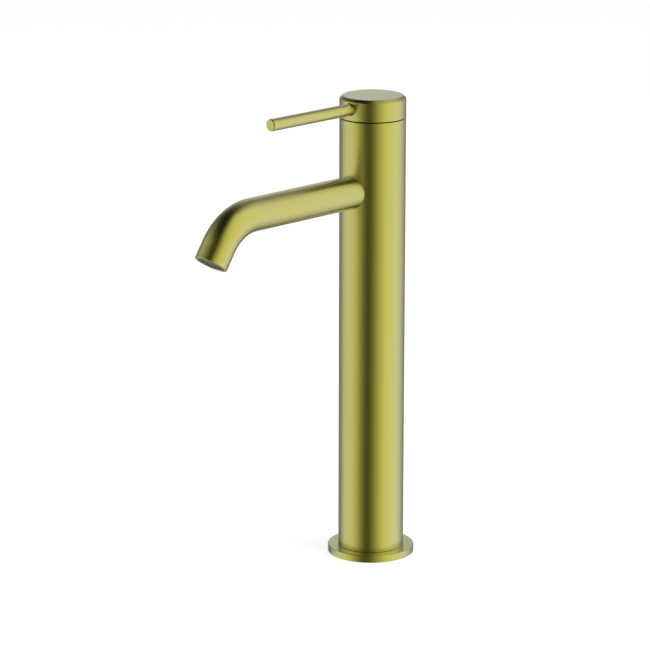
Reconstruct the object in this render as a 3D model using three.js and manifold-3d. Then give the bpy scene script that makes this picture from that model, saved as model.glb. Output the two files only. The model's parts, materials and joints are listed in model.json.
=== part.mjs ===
// Tall single-lever basin mixer, in millimetres, +Z up.
// The origin is the middle of the foot on the deck, the spout and the lever point to -Y.

import * as THREE from 'three';
import { mergeVertices } from 'three/addons/utils/BufferGeometryUtils.js';
import Module from 'manifold-3d';

const wasm = await Module();
wasm.setup();

// ---- Driving dimensions ----

// Fits, seals and edges
const clearance = 0.3; // between parts that are turned or cut to fit each other
const sealSlack = 0.2; // between a seal and its groove
const edgeBreak = 0.4; // broken edges of the column and the lever
const overrun = 1; // how far a cutting tool runs past a face
const flangeEdge = 0.5; // broken edges of the flange

// Column and foot
const bodyRadius = 22.5;
const bodyWall = 2.5;
const flangeRadius = 29.7;
const flangeThickness = 4.95;
const baseSealWidth = 3.4;
const baseSealThickness = 1.9;
const baseSealInset = 2.5; // from the flange's rim to the seal groove
const footHeight = 24;
const hoseSocketRadius = 4.6; // core of an M10 x 1 thread
const hoseSocketDepth = 12;
const studSocketRadius = 4; // M8 stud
const studSocketDepth = 14;
const studOffset = 10.5; // behind the column's axis

// Hot and cold risers
const riserRadius = 5;
const riserWall = 1;
const riserSocketDepth = 8;
const riserSealSection = 1.3;
const riserSealWidth = 2.2;
const riserWeb = 1.4; // metal between the two riser sockets, each side of the middle
const inletOffset = 4; // in front of the column's axis
const inletPortRadius = 3;

// Valve body
const spoutHeight = 256.95; // the spout's axis above the deck
const valveWall = 1.9;
const riserRoof = 0.2; // from a riser socket's end to the level of the nipple's bore
const floorWeb = 2.2; // metal between the nipple's bore and the cartridge seat
const outletPortRadius = 3.2;
const outletBoreWeb = 1.1; // metal between the outlet bore and the inlets beside it

// Spout
const spoutRadius = 11.25;
const spoutWall = 2.95;
const spoutStraight = 113.9; // from the column's axis to the bend
const bendRadius = 36.6;
const bendAngle = THREE.MathUtils.degToRad(56);
const outletStraight = 13;
const spoutSeat = 1; // how far the spout's root stands in front of the column's bore
const rootBossLength = 14;
const nippleRadius = 6;
const nippleBoreRadius = 3.8;
const nippleGrip = 7; // how deep the nipple goes into the valve body
const spoutSealInner = 7.4;
const spoutSealWidth = 2;
const spoutSealDepth = 1.7;

// Aerator
const aeratorRecess = 0.2;
const aeratorLength = 7;
const aeratorWall = 1.65;
const aeratorSocketWall = 2; // wall of the spout around the aerator
const aeratorSealThickness = 0.7;
const screenInset = 0.6;
const screenThickness = 4;
const screenHoleRadius = 0.6;
const screenHoleRings = [[0, 1], [2.3, 6], [4.6, 12]]; // each ring's radius and its holes

// Cartridge
const baseThickness = 3.3;
const portSealThickness = 1.4;
const portSealWidth = 1.1;
const fixedDiscThickness = 3;
const fixedDiscGap = 1.7; // between the fixed disc and the housing
const inletRim = 1.55; // ceramic between an inlet and the fixed disc's rim
const outletRim = 2.3; // ceramic between the outlet and the fixed disc's rim
const movingDiscThickness = 2.7;
const movingDiscInset = 1.7; // from the fixed disc's rim to the moving disc's
const mixingDepth = 1.4;
const mixingSide = 3.6; // from the moving disc's rim to the side of its mixing chamber
const mixingCorner = 1.3; // ceramic behind the chamber's corners
const mixingLand = 0.5; // how far the chamber lies behind the inlets when shut
const carrierThickness = 3.7;
const carrierInset = 0.8; // from the moving disc's rim to the carrier's
const housingWall = 2.3;
const rotorPlay = 0.4; // between the rotor's flange and the housing
const rotorFlangeThickness = 7.2;
const rotorShoulder = 4.3; // from the flange's rim in to the neck
const rotorNeckHeight = 7;
const housingRoof = 3.2;
const nutThickness = 3;
const nutHexHeight = 4;
const nutGap = 1; // between the nut's hole and the rotor's neck
const pivotDrop = 4.7; // from the pivot to the rotor's underside
const pinRadius = 1.5;
const pinInset = 1; // from the rotor's rim to the pin's end

// Spindle and handle
const liftRange = THREE.MathUtils.degToRad(25);
const spindleWidth = 8;
const spindleDepth = 7;
const spindleHeel = 3.6; // how far the bar goes below the pivot
const footReach = 6.8; // from the pivot to the ball
const ballRadius = 1.7;
const ballNeckRadius = 1.3;
const ballSlack = 0.35;
const pivotToRim = 22; // from the pivot up to the column's top
const handleGap = 0.7;
const capHeight = 14.54;
const capChamferWidth = 2.25;
const capChamferHeight = 1.95;
const hubRadius = 8;
const hubDrop = 6.5; // how far the hub hangs below the cap's hollow
const hubRoot = 2; // how far the hub runs into the cap
const spindleEntry = 0.5; // how far the spindle goes past the cap's hollow
const domeGap = 0.7; // between the cover ring's dome and the column's inner top edge
const domeThickness = 1.7;
const coverWall = 2.5;
const coverRise = 15; // from the pivot to the top of the valve body
const leverRise = 7.5; // from the cap's rim to the lever's axis
const leverRadius = 4.1;
const leverReach = 97.1; // from the column's axis to the lever's tip
const leverSocketDepth = 4.5;
const leverStubRadius = 2.5;
const leverStubWeb = 1.45; // metal between the lever's stub and the spindle
const screwRadius = 2.5;
const screwTipRadius = 1.2;
const screwProud = 0.6; // how far the set screw stands out of the hub
const screwKeyRadius = 1.45;
const screwKeyDepth = 2.4;
const plugRadius = 2.7;
const plugLength = 4.5;

// Facets around a full turn
const bodySides = 48;
const innerSides = 24;
const smallSides = 16;
const holeSides = 8;
const hexSides = 6;
const bendSteps = 8;
const domeSteps = 4;

// ---- Sizes that follow ----

const boreRadius = bodyRadius - bodyWall;
const insertRadius = boreRadius - clearance;
const riserSocketRadius = riserRadius + clearance;
const riserGrooveRadius = riserSocketRadius + riserSealSection;
const inletSide = riserGrooveRadius + riserWeb;
const footPocketFloor = footHeight - riserSocketDepth;

const nippleHoleRadius = nippleRadius + clearance;
const seatHeight = spoutHeight + nippleHoleRadius + floorWeb;
const valvePocketTop = spoutHeight - nippleHoleRadius - riserRoof;
const valveBottom = valvePocketTop - riserSocketDepth;
const cartridgeBoreRadius = insertRadius - valveWall;
const cartridgeRadius = cartridgeBoreRadius - clearance;
const housingInnerRadius = cartridgeRadius - housingWall;
const rotorFlangeRadius = housingInnerRadius - rotorPlay;
const rotorNeckRadius = rotorFlangeRadius - rotorShoulder;
const fixedDiscRadius = housingInnerRadius - fixedDiscGap;
const movingDiscRadius = fixedDiscRadius - movingDiscInset;
const carrierRadius = movingDiscRadius - carrierInset;
const portSide = Math.sqrt(
  (fixedDiscRadius - inletRim - inletPortRadius) ** 2 - inletOffset ** 2,
);
const outletOffset = fixedDiscRadius - outletRim - outletPortRadius;
const outletBoreRadius = portSide - inletPortRadius - outletBoreWeb;

const baseTop = seatHeight + baseThickness;
const fixedDiscTop = baseTop + fixedDiscThickness;
const movingDiscLow = fixedDiscTop + clearance;
const movingDiscTop = movingDiscLow + movingDiscThickness;
const carrierTop = movingDiscTop + carrierThickness;
const rotorLow = carrierTop + clearance;
const pivotHeight = rotorLow + pivotDrop;
const rotorFlangeTop = rotorLow + rotorFlangeThickness;
const rotorNeckTop = rotorFlangeTop + rotorNeckHeight;
const housingRoofLow = rotorFlangeTop + clearance;
const housingTop = housingRoofLow + housingRoof;
const nutTop = housingTop + nutThickness;
const valveTop = pivotHeight + coverRise;

const lean = liftRange / 2;
const footBack = footReach * Math.sin(lean);
const mixingHalfWidth = movingDiscRadius - mixingSide;
const mixingFront = inletPortRadius + mixingLand - inletOffset;
const mixingBack = footBack + Math.sqrt(
  (movingDiscRadius - mixingCorner) ** 2 - mixingHalfWidth ** 2,
);
const columnTop = pivotHeight + pivotToRim;
const rimHeight = columnTop + handleGap;
const capTop = rimHeight + capHeight;
const leverHeight = rimHeight + leverRise;
const columnEdgeReach = Math.max(
  Math.hypot(bodyRadius, pivotToRim - edgeBreak),
  Math.hypot(bodyRadius - edgeBreak, pivotToRim),
);
const hollowRadius = columnEdgeReach + clearance;
const rimInnerRadius = Math.sqrt(hollowRadius ** 2 - (rimHeight - pivotHeight) ** 2);
const domeRadius = Math.hypot(boreRadius, pivotToRim) - domeGap;
const domeInnerRadius = domeRadius - domeThickness;
const hubLow = hollowRadius - hubDrop;
const spindleTop = hollowRadius + spindleEntry;
const coverOpening = hubRadius * Math.cos(lean) + domeRadius * Math.sin(lean) + clearance;

const spoutRoot = boreRadius - spoutSeat;
const spoutBoreRadius = spoutRadius - spoutWall;
const aeratorSocketRadius = spoutRadius - aeratorSocketWall;
const aeratorRadius = aeratorSocketRadius - clearance;
const aeratorInner = aeratorRadius - aeratorWall;
const aeratorEnd = aeratorRecess + aeratorLength;
const aeratorSocketDepth = aeratorEnd + aeratorSealThickness + clearance;

// ---- Finishes ----

const finish = (color, roughness, metalness) => (
  new THREE.MeshStandardMaterial({ color, roughness, metalness })
);
const satinBrass = () => finish(0xb5b04f, 0.38, 1);
const rawBrass = () => finish(0xb8963e, 0.45, 1);
const copper = () => finish(0xb5714a, 0.35, 1);
const steel = () => finish(0xa9abad, 0.35, 1);
const rubber = () => finish(0x222222, 0.85, 0);
const ceramic = () => finish(0xe9e6dc, 0.2, 0);
const whitePlastic = () => finish(0xdedfdc, 0.5, 0);
const greyPlastic = () => finish(0x68635d, 0.5, 0);

// ---- Tools ----

// A closed mesh as a solid that can be joined and cut.
function solid(geometry) {
  const bare = geometry.clone();
  bare.deleteAttribute('normal');
  bare.deleteAttribute('uv');
  const merged = mergeVertices(bare);
  const corners = merged.index.array;
  const triangles = [];
  for (let i = 0; i < corners.length; i += 3) {
    const [a, b, c] = corners.slice(i, i + 3);
    if (a !== b && b !== c && c !== a) triangles.push(a, b, c);
  }
  return new wasm.Manifold(new wasm.Mesh({
    numProp: 3,
    vertProperties: new Float32Array(merged.attributes.position.array),
    triVerts: new Uint32Array(triangles),
  }));
}

// A solid back as a geometry.
function shape(body) {
  const { numProp, vertProperties, triVerts } = body.getMesh();
  const geometry = new THREE.BufferGeometry();
  geometry.setAttribute('position', new THREE.BufferAttribute(vertProperties, numProp));
  geometry.setIndex(new THREE.BufferAttribute(triVerts, 1));
  geometry.computeVertexNormals();
  return geometry;
}

const cut = (body, ...tools) => tools.reduce((rest, tool) => rest.subtract(tool), body);
const join = (body, ...others) => others.reduce((whole, other) => whole.add(other), body);

// A profile of [radius, height] points turned around +Z.
function turned(profile, sides) {
  const points = profile.map(([radius, height]) => new THREE.Vector2(radius, height));
  return new THREE.LatheGeometry(points, sides).rotateX(Math.PI / 2);
}

// The same around -Y, at a height: each point is [radius, distance in front of the axis].
function turnedForward(profile, sides, height) {
  const points = profile.map(([radius, forward]) => new THREE.Vector2(radius, forward));
  return new THREE.LatheGeometry(points, sides).rotateX(Math.PI).translate(0, 0, height);
}

const ringProfile = (inner, outer, low, high) => (
  [[inner, low], [outer, low], [outer, high], [inner, high], [inner, low]]
);
const rodProfile = (radius, low, high) => [[0, low], [radius, low], [radius, high], [0, high]];

// A rod along Z at x, y.
const upright = (radius, low, high, x, y, sides) => (
  turned(rodProfile(radius, low, high), sides).translate(x, y, 0)
);

function block(width, depth, low, high) {
  return new THREE.BoxGeometry(width, depth, high - low).translate(0, 0, (low + high) / 2);
}

// Points of a ball around the pivot, from one radius to another.
function ballArc(reach, fromRadius, toRadius, steps) {
  const points = [];
  for (let i = 0; i <= steps; i += 1) {
    const radius = THREE.MathUtils.lerp(fromRadius, toRadius, i / steps);
    points.push([radius, pivotHeight + Math.sqrt(reach ** 2 - radius ** 2)]);
  }
  return points;
}

// ---- Assembly ----

const mixer = new THREE.Group();
const outlet = new THREE.Group(); // local +Z runs from the outlet back into the spout
mixer.add(outlet);

function part(name, geometry, material, parent = mixer) {
  const mesh = new THREE.Mesh(geometry, material);
  mesh.name = name;
  parent.add(mesh);
  return mesh;
}

// ---- Column, flange and foot ----

function columnSolid() {
  const tube = turned([
    [boreRadius, flangeThickness],
    [bodyRadius - edgeBreak, flangeThickness],
    [bodyRadius, flangeThickness + edgeBreak],
    [bodyRadius, columnTop - edgeBreak],
    [bodyRadius - edgeBreak, columnTop],
    [boreRadius, columnTop],
    [boreRadius, flangeThickness],
  ], bodySides);
  const spoutHole = turnedForward(
    rodProfile(spoutRadius + clearance, boreRadius / 2, bodyRadius + bodyWall),
    innerSides,
    spoutHeight,
  );
  return cut(solid(tube), solid(spoutHole));
}

function flangeGeometry() {
  const grooveOuter = flangeRadius - baseSealInset;
  const grooveInner = grooveOuter - baseSealWidth - 2 * sealSlack;
  const grooveDepth = baseSealThickness + sealSlack;
  return turned([
    [boreRadius, 0],
    [grooveInner, 0],
    [grooveInner, grooveDepth],
    [grooveOuter, grooveDepth],
    [grooveOuter, 0],
    [flangeRadius - flangeEdge, 0],
    [flangeRadius, flangeEdge],
    [flangeRadius, flangeThickness - flangeEdge],
    [flangeRadius - flangeEdge, flangeThickness],
    [boreRadius, flangeThickness],
    [boreRadius, 0],
  ], bodySides);
}

function baseSealGeometry() {
  const outer = flangeRadius - baseSealInset - sealSlack;
  return turned(ringProfile(outer - baseSealWidth, outer, 0, baseSealThickness), bodySides);
}

// Where a riser's seal lies along its socket.
const sealBand = (socketLow) => {
  const middle = socketLow + riserSocketDepth / 2;
  return [middle - riserSealWidth / 2, middle + riserSealWidth / 2];
};

function footSolid() {
  const [grooveLow, grooveHigh] = sealBand(footPocketFloor);
  const inletHole = turned([
    [0, -overrun],
    [hoseSocketRadius, -overrun],
    [hoseSocketRadius, hoseSocketDepth],
    [inletPortRadius, hoseSocketDepth],
    [inletPortRadius, footPocketFloor],
    [riserSocketRadius, footPocketFloor],
    [riserSocketRadius, grooveLow],
    [riserGrooveRadius, grooveLow],
    [riserGrooveRadius, grooveHigh],
    [riserSocketRadius, grooveHigh],
    [riserSocketRadius, footHeight + overrun],
    [0, footHeight + overrun],
  ], smallSides);
  const studHole = upright(
    studSocketRadius, -overrun, studSocketDepth, 0, studOffset, smallSides,
  );
  return cut(
    solid(turned(rodProfile(insertRadius, 0, footHeight), bodySides)),
    solid(inletHole.clone().translate(-inletSide, -inletOffset, 0)),
    solid(inletHole.clone().translate(inletSide, -inletOffset, 0)),
    solid(studHole),
  );
}

part('column', shape(columnSolid()), satinBrass());
part('base_flange', flangeGeometry(), satinBrass());
part('base_seal', baseSealGeometry(), rubber());
part('foot_insert', shape(footSolid()), rawBrass());

// ---- Risers ----

function addRiser(water, side) {
  const x = side * inletSide;
  const low = footPocketFloor + clearance;
  const high = valvePocketTop - clearance;
  const tube = turned(ringProfile(riserRadius - riserWall, riserRadius, low, high), smallSides);
  part(`${water}_riser`, tube.translate(x, -inletOffset, 0), copper());
  const sockets = { lower: footPocketFloor, upper: valveBottom };
  for (const [end, socketLow] of Object.entries(sockets)) {
    const [grooveLow, grooveHigh] = sealBand(socketLow);
    const seal = turned(ringProfile(
      riserRadius + sealSlack,
      riserGrooveRadius - sealSlack,
      grooveLow + sealSlack,
      grooveHigh - sealSlack,
    ), smallSides);
    part(`${water}_riser_${end}_seal`, seal.translate(x, -inletOffset, 0), rubber());
  }
}

addRiser('hot', -1);
addRiser('cold', 1);

// ---- Valve body ----

function valveSolid() {
  const [grooveLow, grooveHigh] = sealBand(valveBottom);
  const riserSocket = turned([
    [0, valveBottom - overrun],
    [riserSocketRadius, valveBottom - overrun],
    [riserSocketRadius, grooveLow],
    [riserGrooveRadius, grooveLow],
    [riserGrooveRadius, grooveHigh],
    [riserSocketRadius, grooveHigh],
    [riserSocketRadius, valvePocketTop],
    [0, valvePocketTop],
  ], smallSides);
  const inletRise = upright(
    inletPortRadius, valvePocketTop - overrun, seatHeight + overrun, 0, -inletOffset, smallSides,
  );
  const cup = turned([
    [0, valveBottom],
    [insertRadius, valveBottom],
    [insertRadius, valveTop],
    [cartridgeBoreRadius, valveTop],
    [cartridgeBoreRadius, seatHeight],
    [0, seatHeight],
  ], bodySides);
  const nippleEnd = spoutRoot - nippleGrip;
  const outletDrop = upright(
    outletPortRadius, spoutHeight, seatHeight + overrun, 0, outletOffset, smallSides,
  );
  const outletBore = turnedForward([
    [0, -outletOffset],
    [outletBoreRadius, -outletOffset],
    [outletBoreRadius, nippleEnd],
    [nippleHoleRadius, nippleEnd],
    [nippleHoleRadius, spoutRoot - clearance],
    [spoutRadius + clearance, spoutRoot - clearance],
    [spoutRadius + clearance, bodyRadius],
    [0, bodyRadius],
  ], innerSides, spoutHeight);
  return cut(
    solid(cup),
    solid(riserSocket.clone().translate(-inletSide, -inletOffset, 0)),
    solid(riserSocket.clone().translate(inletSide, -inletOffset, 0)),
    solid(inletRise.clone().translate(-portSide, 0, 0)),
    solid(inletRise.clone().translate(portSide, 0, 0)),
    solid(outletDrop),
    solid(outletBore),
  );
}

part('valve_body', shape(valveSolid()), rawBrass());

// ---- Spout ----

// The middle line of the spout: straight out, around the bend, straight down to the outlet.
class SpoutLine extends THREE.Curve {
  constructor(start, overrun = 0) {
    super();
    this.start = start;
    this.end = outletStraight + overrun;
    this.steps = bendSteps + 2;
  }

  angleAt(t) {
    return bendAngle * THREE.MathUtils.clamp((t * this.steps - 1) / bendSteps, 0, 1);
  }

  getPoint(t, target = new THREE.Vector3()) {
    const angle = this.angleAt(t);
    const before = Math.max(0, 1 - t * this.steps) * (spoutStraight - this.start);
    const after = Math.max(0, t * this.steps - this.steps + 1) * this.end;
    const forward = spoutStraight - before + bendRadius * Math.sin(angle);
    const drop = bendRadius * (1 - Math.cos(angle));
    return target.set(
      0,
      -forward - after * Math.cos(bendAngle),
      spoutHeight - drop - after * Math.sin(bendAngle),
    );
  }

  getTangent(t, target = new THREE.Vector3()) {
    const angle = this.angleAt(t);
    return target.set(0, -Math.cos(angle), -Math.sin(angle));
  }

  // The sections stand at the ends of the bend and evenly around it.
  getPointAt(t, target) {
    return this.getPoint(t, target);
  }

  getTangentAt(t, target) {
    return this.getTangent(t, target);
  }
}

function alongSpout(line, radius) {
  const section = new THREE.Shape();
  section.absarc(0, 0, radius, 0, 2 * Math.PI);
  return new THREE.ExtrudeGeometry(section, {
    steps: line.steps,
    curveSegments: innerSides / 2,
    extrudePath: line,
  });
}

function spoutSolid() {
  const bossEnd = spoutRoot + rootBossLength;
  const rootBore = turnedForward(
    rodProfile(nippleHoleRadius, spoutRoot - overrun, bossEnd + overrun), innerSides, spoutHeight,
  );
  const sealGroove = turnedForward(ringProfile(
    spoutSealInner,
    spoutSealInner + spoutSealWidth,
    spoutRoot - overrun,
    spoutRoot + spoutSealDepth,
  ), innerSides, spoutHeight);
  const socket = turned(
    rodProfile(aeratorSocketRadius, -overrun, aeratorSocketDepth), innerSides,
  );
  outlet.updateMatrix();
  return cut(
    solid(alongSpout(new SpoutLine(spoutRoot), spoutRadius)),
    solid(alongSpout(new SpoutLine(bossEnd, overrun), spoutBoreRadius)),
    solid(rootBore),
    solid(sealGroove),
    solid(socket.applyMatrix4(outlet.matrix)),
  );
}

outlet.position.copy(new SpoutLine(spoutRoot).getPoint(1));
outlet.rotation.x = bendAngle - Math.PI / 2;
part('spout_tube', shape(spoutSolid()), satinBrass());

part('spout_nipple', turnedForward(ringProfile(
  nippleBoreRadius,
  nippleRadius,
  spoutRoot - nippleGrip + clearance,
  spoutRoot + rootBossLength - clearance,
), innerSides, spoutHeight), rawBrass());

part('spout_seal', turnedForward(ringProfile(
  spoutSealInner + sealSlack,
  spoutSealInner + spoutSealWidth - sealSlack,
  spoutRoot - clearance + sealSlack / 2,
  spoutRoot + spoutSealDepth - sealSlack,
), innerSides, spoutHeight), rubber());

// ---- Aerator ----

function screenSolid() {
  const radius = aeratorInner - clearance;
  const low = aeratorRecess + screenInset;
  const high = low + screenThickness;
  const holes = [];
  for (const [ringRadius, count] of screenHoleRings) {
    for (let i = 0; i < count; i += 1) {
      const angle = (2 * Math.PI * i) / count;
      const x = ringRadius * Math.cos(angle);
      const y = ringRadius * Math.sin(angle);
      holes.push(solid(upright(
        screenHoleRadius, low - overrun, high + overrun, x, y, holeSides,
      )));
    }
  }
  return cut(solid(turned(rodProfile(radius, low, high), innerSides)), ...holes);
}

part('aerator_shell', turned(
  ringProfile(aeratorInner, aeratorRadius, aeratorRecess, aeratorEnd), innerSides,
), greyPlastic(), outlet);
part('aerator_screen', shape(screenSolid()), greyPlastic(), outlet);
part('aerator_seal', turned(
  ringProfile(aeratorInner, aeratorRadius, aeratorEnd, aeratorEnd + aeratorSealThickness),
  innerSides,
), rubber(), outlet);

// ---- Cartridge ----

const ports = {
  hot: { x: -portSide, y: -inletOffset, radius: inletPortRadius },
  cold: { x: portSide, y: -inletOffset, radius: inletPortRadius },
  outlet: { x: 0, y: outletOffset, radius: outletPortRadius },
};

// A cutter through every port, wider by a margin.
const portTools = (margin, low, high) => Object.values(ports).map(({ x, y, radius }) => (
  solid(upright(radius + margin, low, high, x, y, smallSides))
));

function baseSolid() {
  const pocketRoof = seatHeight + portSealThickness + sealSlack;
  return cut(
    solid(turned(rodProfile(cartridgeRadius, seatHeight, baseTop), bodySides)),
    ...portTools(0, seatHeight - overrun, baseTop + overrun),
    ...portTools(portSealWidth + 2 * sealSlack, seatHeight - overrun, pocketRoof),
  );
}

part('cartridge_base', shape(baseSolid()), greyPlastic());
for (const [name, { x, y, radius }] of Object.entries(ports)) {
  const inner = radius + sealSlack;
  const ring = ringProfile(
    inner, inner + portSealWidth, seatHeight, seatHeight + portSealThickness,
  );
  part(`${name}_port_seal`, turned(ring, smallSides).translate(x, y, 0), rubber());
}

part('fixed_disc', shape(cut(
  solid(turned(rodProfile(fixedDiscRadius, baseTop, fixedDiscTop), innerSides)),
  ...portTools(0, baseTop - overrun, fixedDiscTop + overrun),
)), ceramic());

function movingDiscSolid() {
  const disc = upright(movingDiscRadius, movingDiscLow, movingDiscTop, 0, footBack, innerSides);
  const chamber = block(
    2 * mixingHalfWidth,
    mixingBack - mixingFront,
    movingDiscLow - overrun,
    movingDiscLow + mixingDepth,
  );
  return cut(solid(disc), solid(chamber.translate(0, (mixingBack + mixingFront) / 2, 0)));
}

function carrierSolid() {
  const disc = upright(carrierRadius, movingDiscTop, carrierTop, 0, footBack, innerSides);
  const ballHole = upright(
    ballRadius + ballSlack,
    movingDiscTop - overrun,
    carrierTop + overrun,
    0,
    footBack,
    smallSides,
  );
  return cut(solid(disc), solid(ballHole));
}

part('moving_disc', shape(movingDiscSolid()), ceramic());
part('disc_carrier', shape(carrierSolid()), whitePlastic());

part('cartridge_housing', turned([
  [housingInnerRadius, baseTop],
  [cartridgeRadius, baseTop],
  [cartridgeRadius, housingTop],
  [rotorNeckRadius + clearance, housingTop],
  [rotorNeckRadius + clearance, housingRoofLow],
  [housingInnerRadius, housingRoofLow],
  [housingInnerRadius, baseTop],
], bodySides), greyPlastic());

// The spindle's swing at a height above or below the pivot, to one side.
const spindleSwing = (height) => (
  Math.abs(height) * Math.tan(lean) + spindleDepth / 2 / Math.cos(lean)
);

function alongX(radius, halfLength) {
  const rod = new THREE.CylinderGeometry(radius, radius, 2 * halfLength, smallSides);
  return rod.rotateZ(Math.PI / 2);
}

function rotorSolid() {
  const slotDepth = 2 * (spindleSwing(rotorNeckTop - pivotHeight) + clearance);
  const slotWidth = spindleWidth + 2 * clearance;
  const pinHole = alongX(pinRadius + clearance, rotorFlangeRadius + overrun);
  return cut(
    solid(turned([
      [0, rotorLow],
      [rotorFlangeRadius, rotorLow],
      [rotorFlangeRadius, rotorFlangeTop],
      [rotorNeckRadius, rotorFlangeTop],
      [rotorNeckRadius, rotorNeckTop],
      [0, rotorNeckTop],
    ], innerSides)),
    solid(block(slotWidth, slotDepth, rotorLow - overrun, rotorNeckTop + overrun)),
    solid(pinHole.translate(0, 0, pivotHeight)),
  );
}

part('rotor', shape(rotorSolid()), whitePlastic());
const pin = alongX(pinRadius, rotorFlangeRadius - pinInset);
part('pivot_pin', pin.translate(0, 0, pivotHeight), steel());

function nutSolid() {
  const holeRadius = rotorNeckRadius + nutGap;
  const hexTop = nutTop + nutHexHeight;
  return cut(
    join(
      solid(turned(rodProfile(cartridgeRadius, housingTop, nutTop), bodySides)),
      solid(turned(rodProfile(cartridgeRadius, housingTop, hexTop), hexSides)),
    ),
    solid(upright(holeRadius, housingTop - overrun, hexTop + overrun, 0, 0, innerSides)),
  );
}

part('cartridge_nut', shape(nutSolid()), rawBrass());

part('cover_ring', turned([
  [insertRadius - coverWall, valveTop],
  [insertRadius, valveTop],
  ...ballArc(domeRadius, insertRadius, coverOpening, domeSteps),
  ...ballArc(domeInnerRadius, coverOpening, insertRadius - coverWall, domeSteps),
  [insertRadius - coverWall, valveTop],
], bodySides), satinBrass());

// ---- Spindle and handle ----

// Everything on the spindle's own line leans forward when the tap is shut.
const leaning = (geometry) => geometry.rotateX(lean).translate(0, 0, pivotHeight);

function spindleSolid() {
  const ball = new THREE.SphereGeometry(ballRadius, smallSides, smallSides / 2);
  const neck = upright(ballNeckRadius, -footReach, overrun - spindleHeel, 0, 0, smallSides);
  const bar = cut(
    solid(block(spindleWidth, spindleDepth, -spindleHeel, spindleTop)),
    solid(alongX(pinRadius + clearance, spindleWidth)),
  );
  return join(bar, solid(neck), solid(ball.rotateX(Math.PI / 2).translate(0, 0, -footReach)));
}

part('spindle', leaning(shape(spindleSolid())), steel());

const spindleHalfDepth = spindleDepth / 2 / Math.cos(lean);
const spindleForward = (leverHeight - pivotHeight) * Math.tan(lean);
const spindleFront = spindleForward + spindleHalfDepth; // at the lever's height
const spindleBack = spindleHalfDepth - spindleForward;
const leverSeat = bodyRadius - leverSocketDepth;
const leverStubEnd = spindleFront + leverStubRadius * Math.tan(lean) + leverStubWeb + clearance;
const plugHoleEnd = bodyRadius - plugLength - clearance;

function capSolid() {
  const shell = turned([
    ...ballArc(hollowRadius, 0, rimInnerRadius, 2 * domeSteps),
    [bodyRadius, rimHeight],
    [bodyRadius, capTop - capChamferHeight],
    [bodyRadius - capChamferWidth, capTop],
    [0, capTop],
  ], bodySides);
  const hub = leaning(upright(hubRadius, hubLow, hollowRadius + hubRoot, 0, 0, innerSides));
  const socket = leaning(block(
    spindleWidth + 2 * clearance,
    spindleDepth + 2 * clearance,
    hubLow - overrun,
    spindleTop + clearance,
  ));
  const leverHole = turnedForward([
    [0, leverStubEnd - clearance],
    [leverStubRadius + clearance, leverStubEnd - clearance],
    [leverStubRadius + clearance, leverSeat],
    [leverRadius + clearance, leverSeat],
    [leverRadius + clearance, bodyRadius + overrun],
    [0, bodyRadius + overrun],
  ], smallSides, leverHeight);
  const screwHole = turnedForward([
    [0, -bodyRadius - overrun],
    [plugRadius + clearance, -bodyRadius - overrun],
    [plugRadius + clearance, -plugHoleEnd],
    [screwRadius + clearance, -plugHoleEnd],
    [screwRadius + clearance, -spindleBack],
    [0, -spindleBack],
  ], smallSides, leverHeight);
  return cut(
    join(solid(shell), solid(hub)), solid(socket), solid(leverHole), solid(screwHole),
  );
}

part('handle_cap', shape(capSolid()), satinBrass());

part('lever_rod', turnedForward([
  [0, leverStubEnd],
  [leverStubRadius, leverStubEnd],
  [leverStubRadius, leverSeat + clearance],
  [leverRadius, leverSeat + clearance],
  [leverRadius, leverReach - edgeBreak],
  [leverRadius - edgeBreak, leverReach],
  [0, leverReach],
], smallSides, leverHeight), satinBrass());

function setScrewSolid() {
  const tip = -spindleBack - screwTipRadius * Math.tan(lean) - clearance;
  const head = spindleForward - hubRadius / Math.cos(lean) - screwProud;
  const screw = turnedForward([
    [0, head],
    [screwRadius, head],
    [screwRadius, tip - screwRadius + screwTipRadius],
    [screwTipRadius, tip],
    [0, tip],
  ], smallSides, leverHeight);
  const key = turnedForward(
    rodProfile(screwKeyRadius, head - overrun, head + screwKeyDepth), hexSides, leverHeight,
  );
  return cut(solid(screw), solid(key));
}

part('handle_set_screw', shape(setScrewSolid()), steel());

const plugFace = Math.sqrt(bodyRadius ** 2 - plugRadius ** 2);
part('set_screw_plug', turnedForward(
  rodProfile(plugRadius, -plugFace, plugLength - bodyRadius), smallSides, leverHeight,
), satinBrass());

export default mixer;
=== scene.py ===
"""Fine model of a tall single-lever basin mixer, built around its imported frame.

Each piece is turned, swept or carved as its maker would cut it, in metres with +Z up. The middle of the foot
stands on the deck at the origin, and the spout and the lever point to -Y.
"""

import json
import logging
import math
from collections.abc import Callable, Iterable, Sequence
from dataclasses import dataclass, replace
from enum import Enum
from functools import partial
from typing import TypeAlias

import bmesh
import bpy
from mathutils import Matrix, Vector


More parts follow.
